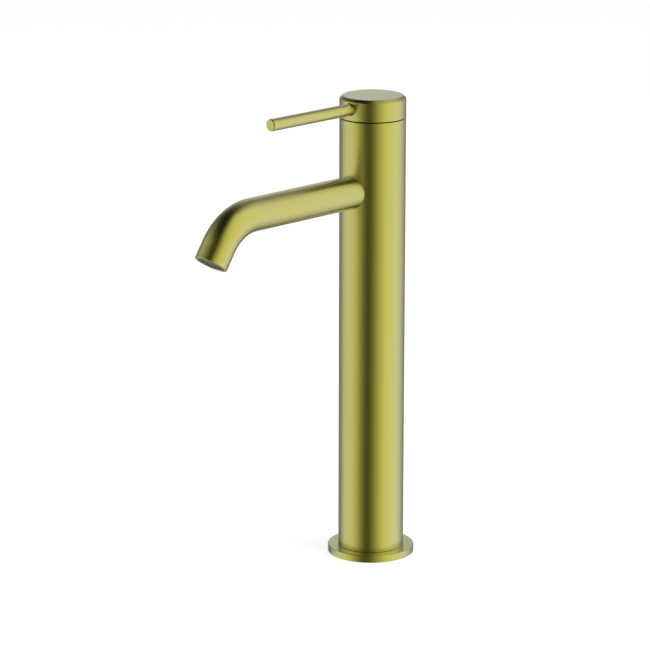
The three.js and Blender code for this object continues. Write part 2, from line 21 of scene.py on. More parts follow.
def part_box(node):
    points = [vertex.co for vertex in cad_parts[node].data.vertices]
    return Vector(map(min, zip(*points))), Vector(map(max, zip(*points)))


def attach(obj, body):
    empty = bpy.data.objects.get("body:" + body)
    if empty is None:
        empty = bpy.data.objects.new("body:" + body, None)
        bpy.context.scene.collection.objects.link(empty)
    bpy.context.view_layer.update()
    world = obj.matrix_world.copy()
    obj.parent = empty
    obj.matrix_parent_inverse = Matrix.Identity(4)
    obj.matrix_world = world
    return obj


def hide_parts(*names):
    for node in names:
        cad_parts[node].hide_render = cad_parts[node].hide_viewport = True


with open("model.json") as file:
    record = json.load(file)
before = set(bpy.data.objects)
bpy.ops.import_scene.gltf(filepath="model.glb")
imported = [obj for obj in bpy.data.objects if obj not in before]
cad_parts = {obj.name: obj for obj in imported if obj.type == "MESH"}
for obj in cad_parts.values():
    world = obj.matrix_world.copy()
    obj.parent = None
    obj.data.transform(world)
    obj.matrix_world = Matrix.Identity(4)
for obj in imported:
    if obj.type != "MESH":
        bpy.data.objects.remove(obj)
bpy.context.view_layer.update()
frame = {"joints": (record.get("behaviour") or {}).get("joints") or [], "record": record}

LOG = logging.getLogger("basin_mixer")

MM = 0.001
OVERRUN = 1.0 * MM  # how far a cutting tool runs past a face
FIT = 0.3 * MM  # between parts that are turned or cut to fit each other
CLOSE_FIT = 0.12 * MM  # between parts that look as if they touch
RING_PLAY = 0.2 * MM  # between a rubber ring and its groove
EDGE = 0.12 * MM  # a machined edge, just broken
FINE_TURN = 192  # facets around the pieces that show most
TURN = 96  # facets around the other large pieces
SMALL_TURN = 48  # facets around a small piece
SAME_SPOT = 0.0005 * MM  # corners closer than this are one
SHARP = math.radians(28)  # a fold above this stays a crisp edge
QUARTER = math.radians(90)  # of a turn
HEXAGON = 6  # sides
RISERS = ("hot_riser", "cold_riser")

Profile: TypeAlias = list[tuple[float, float]]  # each corner: how far from the axis, and how high along it


# ---- What the frame says ----


def body_of(node: str) -> str:
    """The moving body that a node belongs to."""
    bodies = frame["record"]["behaviour"]["bodies"]
    return next(body for body, nodes in bodies.items() if node in nodes)


def joint(name: str) -> dict:
    """One joint of the record, by name."""
    return next(entry for entry in frame["joints"] if entry["name"] == name)


def middle(node: str) -> Vector:
    """The middle of a node's box."""
    low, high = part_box(node)
    return (low + high) / 2


def radius_of(node: str) -> float:
    """The radius of a round node, which is half its width."""
    low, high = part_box(node)
    return (high.x - low.x) / 2


def height_span(node: str) -> tuple[float, float]:
    """Where a node begins and ends above the deck."""
    low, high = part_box(node)
    return low.z, high.z


def forward_span(node: str) -> tuple[float, float]:
    """Where a node begins and ends in front of the column's axis."""
    low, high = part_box(node)
    return -high.y, -low.y


SLOT_OF_NODE: dict[str, str] = {part["node"]: part["material_slot"] for part in frame["record"]["subparts"]}
PIVOT = joint("lever_lift")["pos_m"][2]  # height of the handle's pin above the deck
LEAN = math.radians(joint("lever_lift")["range_deg"][1]) / 2  # the shut spindle leans this far forward


# ---- Where pieces stand ----


def standing(x: float = 0.0, y: float = 0.0, z: float = 0.0) -> Matrix:
    """The place of a piece whose axis stands along +Z."""
    return Matrix.Translation((x, y, z))


def standing_at(node: str) -> Matrix:
    """The place of a piece whose axis stands where an upright node's does."""
    where = middle(node)
    return standing(where.x, where.y)


def pointing_forward(height: float) -> Matrix:
    """The place of a piece whose axis points to -Y, at a height above the deck."""
    return Matrix.Translation((0, 0, height)) @ Matrix.Rotation(QUARTER, 4, "X")


def crosswise(height: float) -> Matrix:
    """The place of a piece whose axis points to +X, at a height above the deck."""
    return Matrix.Translation((0, 0, height)) @ Matrix.Rotation(QUARTER, 4, "Y")


def leaning() -> Matrix:
    """The place of a piece on the spindle's own axis, measured from the pivot."""
    return Matrix.Translation((0, 0, PIVOT)) @ Matrix.Rotation(LEAN, 4, "X")


# ---- Materials ----

WHITE = (1.0, 1.0, 1.0, 1.0)
ALONG = "along"  # the attribute that holds a swept tube's length up to each vertex
PLACE_DIGITS = 6  # decimals that are kept of a grain's place
PATCH_DETAIL = 3.0  # finer layers in the patches of drifting colour

Socket: TypeAlias = bpy.types.NodeSocket
Feed: TypeAlias = Socket | float | Sequence[float]  # what a socket takes: another's output, or a value


class Lay(Enum):
    """How the marks of the tool run over a surface."""

    ROUND = "round the axis"
    LENGTHWISE = "along the axis"
    SWEPT = "round a tube that bends"
    NONE = "no direction"


class Blend(Enum):
    """What is mixed."""

    COLOURS = "RGBA"
    NUMBERS = "FLOAT"


class Slope(Enum):
    """How a stretched range runs from its start to its end."""

    STRAIGHT = "LINEAR"
    SOFT = "SMOOTHSTEP"


@dataclass(frozen=True)
class Grain:
    """How the tool marks lie on one piece.

    Attributes:
        lay: the direction of the marks.
        place: the place of the axis they follow, as a tuple of the matrix's rows.
    """

    lay: Lay
    place: tuple[tuple[float, ...], ...]

    @classmethod
    def at(cls, lay: Lay, place: Matrix) -> "Grain":
        """A grain that follows the axis of a placed piece."""
        return cls(lay, tuple(tuple(round(value, PLACE_DIGITS) for value in row) for row in place))


class Nodes:
    """The nodes of one tree, as they are put together."""

    def __init__(self, tree: bpy.types.NodeTree) -> None:
        """Takes a tree on.

        Args:
            tree: the node tree.
        """
        self.tree = tree

    def node(self, kind: str, **settings: str) -> bpy.types.Node:
        """Adds a node.

        Args:
            kind: the node's type, without its ShaderNode prefix.
            **settings: attributes to set on it.

        Returns:
            The new node.
        """
        made = self.tree.nodes.new(f"ShaderNode{kind}")
        for key, value in settings.items():
            setattr(made, key, value)
        return made

    def feed(self, socket: Socket, value: Feed) -> None:
        """Links another node's output to a socket, or sets it to a value.

        Args:
            socket: the socket.
            value: what it takes.
        """
        if isinstance(value, Socket):
            self.tree.links.new(value, socket)
        else:
            socket.default_value = value

    def reckon(self, operation: str, *values: Feed) -> Socket:
        """One step of arithmetic, as a node.

        Args:
            operation: the Math node's operation.
            *values: its inputs.

        Returns:
            The result's output.
        """
        made = self.node("Math", operation=operation)
        for socket, value in zip(made.inputs, values):
            self.feed(socket, value)
        return made.outputs[0]

    def spread(
        self, value: Feed, low: float, high: float, start: float = 0.0, end: float = 1.0,
        slope: Slope = Slope.STRAIGHT,
    ) -> Socket:
        """Stretches a range of values to another.

        Args:
            value: the value.
            low: what the start becomes, and all before it.
            high: what the end becomes, and all after it.
            start: where the range starts.
            end: where the range ends.
            slope: how it goes from one to the other.

        Returns:
            The stretched value's output.
        """
        made = self.node("MapRange", interpolation_type=slope.value)
        self.feed(made.inputs["Value"], value)
        for name, number in (("From Min", start), ("From Max", end), ("To Min", low), ("To Max", high)):
            made.inputs[name].default_value = number
        return made.outputs["Result"]

    def blend(self, share: Feed, first: Feed, second: Feed, kind: Blend = Blend.COLOURS) -> Socket:
        """Mixes two colours or two numbers.

        Args:
            share: how much of the second, from 0 to 1.
            first: the first of them.
            second: the second of them.
            kind: which of the two they are.

        Returns:
            The output of the mix.
        """
        made = self.node("Mix", data_type=kind.value)
        for name, value in (("Factor", share), ("A", first), ("B", second)):
            self.feed(made.inputs[name], value)
        return made.outputs["Result"]

    def layer(self, share: Feed, under: Socket, over: Socket) -> Socket:
        """Lays one shader over another.

        Args:
            share: how much of the upper one, from 0 to 1.
            under: the lower shader's output.
            over: the upper shader's output.

        Returns:
            The output of both.
        """
        made = self.node("MixShader")
        for socket, value in zip(made.inputs, (share, under, over)):
            self.feed(socket, value)
        return made.outputs[0]

    def noise(self, where: Feed, scale: float, depth: Feed = 0.0, detail: float = 2.0) -> Socket:
        """A noise pattern.

        Args:
            where: the coordinates it reads.
            scale: how many features to a metre.
            depth: the fourth coordinate.
            detail: how many finer layers it has.

        Returns:
            The pattern's output, from 0 to 1.
        """
        made = self.node("TexNoise", noise_dimensions="4D")
        for name, value in (("Vector", where), ("W", depth), ("Scale", scale), ("Detail", detail)):
            self.feed(made.inputs[name], value)
        return made.outputs["Fac"]

    def parted(self, vector: Socket) -> list[Socket]:
        """Parts a vector into its three numbers.

        Args:
            vector: the vector's output.

        Returns:
            The outputs of its x, y and z.
        """
        made = self.node("SeparateXYZ")
        self.feed(made.inputs[0], vector)
        return list(made.outputs)


class Recipe(Nodes):
    """A material in the making: the nodes around one Principled shader."""

    def __init__(self, name: str) -> None:
        """Starts an empty material.

        Args:
            name: the material's name.
        """
        self.material = bpy.data.materials.new(name)
        self.material.use_nodes = True
        super().__init__(self.material.node_tree)
        self.shader = self.tree.nodes["Principled BSDF"]

    def show(self, shader: Socket) -> None:
        """Makes a shader the material's surface."""
        self.feed(self.tree.nodes["Material Output"].inputs["Surface"], shader)

    def placed(self, grain: Grain) -> Socket:
        """The piece's own coordinates, with +Z along the axis that its grain follows.

        Args:
            grain: the piece's grain.

        Returns:
            The coordinates' output.
        """
        back = Matrix(grain.place).inverted()
        made = self.node("Mapping")
        made.inputs["Location"].default_value = back.to_translation()
        made.inputs["Rotation"].default_value = back.to_euler()
        self.feed(made.inputs["Vector"], self.node("TexCoord").outputs["Object"])
        return made.outputs["Vector"]

    def marks(self, grain: Grain, pitch: float, drift: float) -> Socket:
        """The tool's marks, which are fine across their lay and long along it.

        Args:
            grain: how they lie.
            pitch: the width of a mark.
            drift: the length over which a mark changes.

        Returns:
            The height of the marks, from 0 to 1.
        """
        where = self.placed(grain)
        if grain.lay is Lay.NONE:
            return self.noise(where, 1 / pitch)
        x, y, z = self.parted(where)
        fine, long = 1 / pitch, 1 / drift
        steps, depth = (long, long, fine), 0.0
        if grain.lay is Lay.LENGTHWISE:
            steps = (fine, fine, long)
        elif grain.lay is Lay.SWEPT:
            z = self.node("Attribute", attribute_name=ALONG).outputs["Fac"]
        else:
            square = self.reckon("ADD", self.reckon("MULTIPLY", x, x), self.reckon("MULTIPLY", y, y))
            depth = self.reckon("MULTIPLY", self.reckon("SQRT", square), fine)
        scaled = self.node("CombineXYZ")
        for socket, value, step in zip(scaled.inputs, (x, y, z), steps):
            self.feed(socket, self.reckon("MULTIPLY", value, step))
        return self.noise(scaled.outputs[0], 1.0, depth)


@dataclass(frozen=True, kw_only=True)
class Finish:
    """What a surface is made of, and how its maker left it.

    Attributes:
        name: what the finish is called.
        colour: its colour, linear.
        second: the colour that it drifts to, in patches.
        mottle: how far it drifts.
        mottle_size: the width of a patch.
        roughness: how far it blurs what it mirrors.
        uneven: how far the roughness strays.
        metallic: 1 for bare metal, 0 for plastic, rubber and ceramic.
        pitch: the width of a tool mark.
        drift: the length over which a tool mark changes.
        depth: the height of a tool mark.
    """

    name: str
    colour: tuple[float, float, float]
    second: tuple[float, float, float]
    mottle: float
    mottle_size: float
    roughness: float
    uneven: float
    metallic: float = 1.0
    pitch: float
    drift: float
    depth: float

    def dress(self, recipe: Recipe, rough: Socket, normal: Socket) -> None:
        """Adds what only this finish has. A plain finish adds nothing."""

    def material(self, grain: Grain, label: str) -> bpy.types.Material:
        """Mixes the finish for one piece.

        Args:
            grain: how the tool marks lie on the piece.
            label: the piece's name.

        Returns:
            The piece's own material.
        """
        recipe = Recipe(f"{self.name}_{label}")
        marks = recipe.marks(grain, self.pitch, self.drift)
        patches = recipe.noise(recipe.placed(grain), 1 / self.mottle_size, detail=PATCH_DETAIL)
        share = recipe.spread(patches, 0.0, 2 * self.mottle)
        rough = recipe.reckon(
            "ADD",
            recipe.spread(marks, self.roughness - self.uneven, self.roughness + self.uneven),
            recipe.spread(patches, -self.uneven / 2, self.uneven / 2),
        )
        bump = recipe.node("Bump")
        bump.inputs["Distance"].default_value = self.depth
        recipe.feed(bump.inputs["Height"], marks)
        normal = bump.outputs["Normal"]
        for name, value in (
            ("Base Color", recipe.blend(share, (*self.colour, 1.0), (*self.second, 1.0))),
            ("Metallic", self.metallic), ("Roughness", rough), ("Normal", normal),
        ):
            recipe.feed(recipe.shader.inputs[name], value)
        self.dress(recipe, rough, normal)
        return recipe.material


@dataclass(frozen=True, kw_only=True)
class CoatedBrass(Finish):
    """Brass that is brushed satin and then coated in a green gold, which mirrors paler at a slant.

    Attributes:
        pale: how much of a slanting reflection is colourless.
        pale_from: how far the surface turns away before that begins, from 0, head-on, to 1, edge-on.
        pale_full: how far it turns away before it is complete.
    """

    pale: float = 0.42
    pale_from: float = 0.09
    pale_full: float = 0.88

    def dress(self, recipe: Recipe, rough: Socket, normal: Socket) -> None:
        """Lays the coating's colourless gloss over the metal, more of it at a slant.

        Args:
            recipe: the material in the making.
            rough: the output of its roughness.
            normal: the output of its bumped normal.
        """
        gloss = recipe.node("BsdfAnisotropic")
        for name, value in (("Color", WHITE), ("Roughness", rough), ("Normal", normal)):
            recipe.feed(gloss.inputs[name], value)
        facing = recipe.node("LayerWeight").outputs["Facing"]
        share = recipe.spread(facing, 0.0, self.pale, self.pale_from, self.pale_full)
        recipe.show(recipe.layer(share, recipe.shader.outputs[0], gloss.outputs[0]))


@dataclass(frozen=True, kw_only=True)
class Moulded(Finish):
    """Plastic, rubber or ceramic: what it mirrors is colourless.

    Attributes:
        mirror: how strongly it mirrors, where 0.5 is usual.
    """

    metallic: float = 0.0
    mirror: float = 0.5

    def dress(self, recipe: Recipe, rough: Socket, normal: Socket) -> None:
        """Sets how strongly the surface mirrors."""
        recipe.shader.inputs["Specular IOR Level"].default_value = self.mirror


SATIN_BRASS = CoatedBrass(
    name="satin_brass", colour=(0.568, 0.535, 0.096), second=(0.545, 0.516, 0.092), mottle=0.10,
    mottle_size=35 * MM, roughness=0.255, uneven=0.020, pitch=0.16 * MM, drift=18 * MM, depth=0.0006 * MM,
)
RAW_BRASS = Finish(
    name="raw_brass", colour=(0.62, 0.43, 0.13), second=(0.50, 0.33, 0.10), mottle=0.35,
    mottle_size=6 * MM, roughness=0.34, uneven=0.08, pitch=0.30 * MM, drift=25 * MM, depth=0.004 * MM,
)
COPPER = Finish(
    name="copper_tube", colour=(0.62, 0.26, 0.14), second=(0.42, 0.16, 0.09), mottle=0.45,
    mottle_size=9 * MM, roughness=0.30, uneven=0.07, pitch=0.25 * MM, drift=30 * MM, depth=0.002 * MM,
)
STEEL = Finish(
    name="steel", colour=(0.52, 0.53, 0.54), second=(0.43, 0.44, 0.45), mottle=0.20,
    mottle_size=5 * MM, roughness=0.27, uneven=0.06, pitch=0.12 * MM, drift=9 * MM, depth=0.0012 * MM,
)
CERAMIC = Moulded(
    name="ceramic", colour=(0.80, 0.78, 0.71), second=(0.74, 0.71, 0.62), mottle=0.25, mirror=0.6,
    mottle_size=4 * MM, roughness=0.16, uneven=0.05, pitch=0.20 * MM, drift=3 * MM, depth=0.0004 * MM,
)
WHITE_PLASTIC = Moulded(
    name="white_plastic", colour=(0.72, 0.73, 0.71), second=(0.64, 0.65, 0.62), mottle=0.20,
    mottle_size=8 * MM, roughness=0.46, uneven=0.07, pitch=0.15 * MM, drift=0.15 * MM, depth=0.0015 * MM,
)
GREY_PLASTIC = Moulded(
    name="grey_plastic", colour=(0.132, 0.118, 0.104), second=(0.100, 0.088, 0.076), mottle=0.25,
    mottle_size=7 * MM, roughness=0.40, uneven=0.08, pitch=0.15 * MM, drift=0.15 * MM, depth=0.0018 * MM,
)
RUBBER = Moulded(
    name="rubber", colour=(0.016, 0.016, 0.017), second=(0.034, 0.034, 0.036), mottle=0.35, mirror=0.35,
    mottle_size=3 * MM, roughness=0.62, uneven=0.10, pitch=0.10 * MM, drift=0.10 * MM, depth=0.002 * MM,
)
FINISH_OF_SLOT: dict[str, Finish] = {
    finish.name: finish
    for finish in (SATIN_BRASS, RAW_BRASS, COPPER, STEEL, CERAMIC, WHITE_PLASTIC, GREY_PLASTIC, RUBBER)
}
OUTLET_PLASTIC = replace(
    GREY_PLASTIC, name="outlet_plastic", colour=(0.235, 0.210, 0.118), second=(0.180, 0.160, 0.092),
)  # the insert in the outlet, which is tinted to go with the brass


# ---- Outlines ----


def rod(radius: float, low: float, high: float) -> Profile:
    """The outline of a plain round rod."""
    return [(0, low), (radius, low), (radius, high), (0, high)]


def ring(inner: float, outer: float, low: float, high: float) -> Profile:
    """The outline of a plain ring."""
    return [(inner, low), (outer, low), (outer, high), (inner, high)]


def oval(inner: float, outer: float, low: float, high: float, points: int = 16) -> Profile:
    """The outline of a rubber ring.

    Args:
        inner: its inner radius.
        outer: its outer radius.
        low: where it begins along its axis.
        high: where it ends.
        points: how many corners the outline has.

    Returns:
        The outline, which closes on itself.
    """
    out, up = (inner + outer) / 2, (low + high) / 2
    turns = (math.tau * point / points for point in range(points))
    return [(out + (outer - inner) / 2 * math.cos(t), up + (high - low) / 2 * math.sin(t)) for t in turns]


def dome(reach: float, from_radius: float, to_radius: float, steps: int) -> Profile:
    """An arc over the pivot, as a dome's outline.

    Args:
        reach: how far it lies from the pivot.
        from_radius: the distance from the column's axis where it begins.
        to_radius: the distance where it ends.
        steps: how many facets it has.

    Returns:
        The arc's corners.
    """
    start, end = (math.asin(radius / reach) for radius in (from_radius, to_radius))
    angles = [start + (end - start) * step / steps for step in range(steps + 1)]
    return [(reach * math.sin(angle), PIVOT + reach * math.cos(angle)) for angle in angles]


@dataclass(frozen=True)
class Thread:
    """A screw thread, cut as rings.

    Attributes:
        depth: from a crest to a root.
        pitch: from one crest to the next, or nearly: a stretch holds a whole number of them.
        form: the corners of one turn, each by its share of the pitch and of the depth.
    """

    depth: float
    pitch: float
    form: tuple[tuple[float, float], ...] = ((0.10, 0.0), (0.48, 1.0), (0.52, 1.0), (0.90, 0.0))

    def stretch(self, crest: float, start: float, end: float) -> Profile:
        """The outline of a threaded stretch.

        Args:
            crest: the radius of its crests.
            start: the height where it starts.
            end: the height where it ends, which may be the lower one.

        Returns:
            The outline, from start to end.
        """
        turns = max(1, round(abs(end - start) / self.pitch))
        step = (end - start) / turns
        return [
            (crest - self.depth * sunk, start + step * (turn + share))
            for turn in range(turns)
            for share, sunk in self.form
        ]


# ---- The bench: how solids are made ----


class Work(Enum):
    """What other solids do to a workpiece."""

    CARVE = "DIFFERENCE"
    JOIN = "UNION"


class Workpiece:
    """A closed solid on the bench, as a bmesh that already lies in its own place."""

    def __init__(self, mesh: bmesh.types.BMesh) -> None:
        """Takes a bmesh on as a workpiece.

        Args:
            mesh: the bmesh, which the workpiece then owns.
        """
        self.mesh = mesh

    @classmethod
    def turned(cls, profile: Profile, place: Matrix | None = None, steps: int = TURN) -> "Workpiece":
        """Turns an outline around its axis.

        Args:
            profile: the outline's corners. It starts and ends on the axis, or closes on itself.
            place: where the axis lies.
            steps: the facets around it.

        Returns:
            The turned solid.
        """
        made = bmesh.new()
        corners = [made.verts.new((radius, 0.0, height)) for radius, height in profile]
        for first, second in zip(corners, corners[1:]):
            made.edges.new((first, second))
        if profile[0][0] > 0:
            made.edges.new((corners[-1], corners[0]))
        bmesh.ops.spin(
            made, geom=made.verts[:] + made.edges[:], cent=(0, 0, 0), axis=(0, 0, 1),
            angle=math.tau, steps=steps, use_merge=True, use_duplicate=False,
        )
        return cls(made).cleaned().moved(place)

    @classmethod
    def prism(
        cls, sides: int, radius: float, low: float, high: float, place: Matrix | None = None
    ) -> "Workpiece":
        """A straight bar with a few flat sides, measured to its corners."""
        return cls.turned(rod(radius, low, high), place, sides)

    @classmethod
    def block(
        cls, width: float, depth: float, low: float, high: float, place: Matrix | None = None
    ) -> "Workpiece":
        """A block around its axis.

        Args:
            width: its size across.
            depth: its size from front to back.
            low: where it begins along the axis.
            high: where it ends.
            place: where the axis lies.

        Returns:
            The block.
        """
        made = bmesh.new()
        size = Matrix.Diagonal((width, depth, high - low, 1.0))
        bmesh.ops.create_cube(made, size=1.0, matrix=standing(z=(low + high) / 2) @ size)
        return cls(made).moved(place)

    @classmethod
    def ball(cls, radius: float, place: Matrix | None = None) -> "Workpiece":
        """A ball around its own middle.

        Args:
            radius: its radius.
            place: where its middle lies.

        Returns:
            The ball.
        """
        made = bmesh.new()
        bmesh.ops.create_uvsphere(made, u_segments=SMALL_TURN, v_segments=SMALL_TURN // 2, radius=radius)
        return cls(made).moved(place)

    @classmethod
    def gathered(cls, parts: Iterable["Workpiece"]) -> "Workpiece":
        """Puts solids that don't touch each other into one workpiece.

        Args:
            parts: the solids, which are used up.

        Returns:
            All of them as one.
        """
        made = bmesh.new()
        for part in parts:
            mesh = bpy.data.meshes.new("part")
            part.mesh.to_mesh(mesh)
            part.mesh.free()
            made.from_mesh(mesh)
            bpy.data.meshes.remove(mesh)
        return cls(made)

    @classmethod
    def around(cls, count: int, make: Callable[[], "Workpiece"], place: Matrix | None = None) -> "Workpiece":
        """Copies of a solid, evenly around an axis.

        Args:
            count: how many copies.
            make: makes one copy.
            place: where the axis lies.

        Returns:
            All the copies as one workpiece.
        """
        turns = (Matrix.Rotation(math.tau * index / count, 4, "Z") for index in range(count))
        return cls.gathered(make().moved(turn) for turn in turns).moved(place)

    def cleaned(self) -> "Workpiece":
        """Merges what lies on one spot and turns every face outwards.

        Returns:
            The same workpiece.
        """
        bmesh.ops.remove_doubles(self.mesh, verts=self.mesh.verts[:], dist=SAME_SPOT)
        bmesh.ops.dissolve_degenerate(self.mesh, edges=self.mesh.edges[:], dist=SAME_SPOT)
        bmesh.ops.recalc_face_normals(self.mesh, faces=self.mesh.faces[:])
        return self

    def moved(self, place: Matrix | None) -> "Workpiece":
        """Moves the workpiece to its place.

        Args:
            place: the place, or nothing where it stays.

        Returns:
            The same workpiece.
        """
        if place is not None:
            bmesh.ops.transform(self.mesh, matrix=place, verts=self.mesh.verts[:])
        return self

    def eased(
        self, width: float = EDGE, segments: int = 2, where: Callable[[Vector], bool] | None = None
    ) -> "Workpiece":
        """Rounds the crisp edges.

        Args:
            width: how far from the edge the round begins.
            segments: how many facets the round has.
            where: says of an edge's middle whether it is rounded. All are, if there is none.

        Returns:
            The same workpiece.
        """
        edges = [
            edge for edge in self.mesh.edges
            if len(edge.link_faces) == 2 and edge.calc_face_angle(0.0) > SHARP
            and (where is None or where((edge.verts[0].co + edge.verts[1].co) / 2))
        ]
        bmesh.ops.bevel(
            self.mesh, geom=edges, offset=width, offset_type="OFFSET", affect="EDGES", segments=segments,
            profile=0.5, material=-1, clamp_overlap=True,
        )
        return self

    def carved(self, *tools: "Workpiece") -> "Workpiece":
        """Cuts tools away from the workpiece."""
        return self._worked(Work.CARVE, tools)

    def joined(self, *others: "Workpiece") -> "Workpiece":
        """Joins other solids to the workpiece."""
        return self._worked(Work.JOIN, others)

    def _worked(self, work: Work, tools: Iterable["Workpiece"]) -> "Workpiece":
        """Cuts with, or joins, solids, one after the other.

        Args:
            work: which of the two it does.
            tools: the solids, which are used up.

        Returns:
            The same workpiece.
        """
        blank = self.as_object("blank")
        helpers = [tool.as_object("tool") for tool in tools]
        for helper in helpers:
            step = blank.modifiers.new("step", "BOOLEAN")
            step.operation = work.value
            step.solver = "EXACT"
            step.object = helper
        depsgraph = bpy.context.evaluated_depsgraph_get()
        self.mesh = bmesh.new()
        self.mesh.from_mesh(blank.evaluated_get(depsgraph).to_mesh())
        for thing in (blank, *helpers):
            mesh = thing.data
            bpy.data.objects.remove(thing)
            bpy.data.meshes.remove(mesh)
        return self.cleaned()

    def as_object(self, name: str) -> bpy.types.Object:
        """Turns the workpiece into an object in the scene, and lets go of the bmesh.

        Args:
            name: the object's name.

        Returns:
            The object.
        """
        mesh = bpy.data.meshes.new(name)
        self.mesh.to_mesh(mesh)
        self.mesh.free()
        made = bpy.data.objects.new(name, mesh)
        bpy.context.scene.collection.objects.link(made)
        return made

    def finished(
        self, node: str, lay: Lay, place: Matrix | None = None, finish: Finish | None = None
    ) -> bpy.types.Object:
        """Hands the workpiece over as the piece that stands for a node of the frame.

        Args:
            node: the node's name.
            lay: how the tool marks lie on it.
            place: where the axis that they follow lies.
            finish: its finish, where that isn't the usual one of its slot.

        Returns:
            The finished piece.
        """
        slot = SLOT_OF_NODE[node]
        grain = Grain.at(lay, place or standing())
        piece = self.as_object(f"fine_{node}")
        piece.data.shade_smooth()
        piece.data.set_sharp_from_angle(angle=SHARP)
        crisp = piece.modifiers.new("flat_faces_stay_flat", "WEIGHTED_NORMAL")
        crisp.keep_sharp = True
        piece.data.materials.append((finish or FINISH_OF_SLOT[slot]).material(grain, node))
        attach(piece, body_of(node))
        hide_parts(node)
        LOG.info("%s: %d faces", piece.name, len(piece.data.polygons))
        return piece


# ---- Column and foot ----


@dataclass
class Column:
    """The round tube that is the mixer's body, and the dome that closes it under the handle."""

    wall: float = 2.5 * MM
    edge: float = 0.40 * MM
    dome_gap: float = 0.7 * MM  # between the dome and the column's inner edge
    dome_wall: float = 1.7 * MM
    dome_skirt: float = 2.5 * MM
    dome_edge: float = 0.2 * MM
    dome_steps: int = 16  # of its outline, on each side

    def __post_init__(self) -> None:
        """Takes the sizes that the frame settles."""
        self.radius = radius_of("column")
        self.low, self.top = height_span("column")
        self.bore = self.radius - self.wall

    def tube(self) -> None:
        """Turns the column and drills it for the spout."""
        blank = Workpiece.turned(ring(self.bore, self.radius, self.low, self.top), steps=FINE_TURN)
        blank.eased(self.edge, segments=4)
        hole = Workpiece.turned(
            rod(radius_of("spout_tube") + CLOSE_FIT, self.bore / 2, self.radius + self.wall),
            pointing_forward(middle("spout_nipple").z), FINE_TURN,
        )
        blank.carved(hole).finished("column", Lay.ROUND)

    def cover(self) -> None:
        """Turns the dome, which shows when the lever is lifted."""
        rim, (low, high) = radius_of("cover_ring"), height_span("cover_ring")
        reach = math.hypot(self.bore, self.top - PIVOT) - self.dome_gap
        opening = math.sqrt(reach ** 2 - (high - PIVOT) ** 2)
        outline = [(rim - self.dome_skirt, low), (rim, low)]
        outline += dome(reach, rim, opening, self.dome_steps)
        outline += dome(reach - self.dome_wall, opening, rim - self.dome_skirt, self.dome_steps)
        Workpiece.turned(outline, steps=FINE_TURN).eased(self.dome_edge).finished("cover_ring", Lay.ROUND)

    def build(self) -> None:
        """Makes every piece of the column."""
        self.tube()
        self.cover()


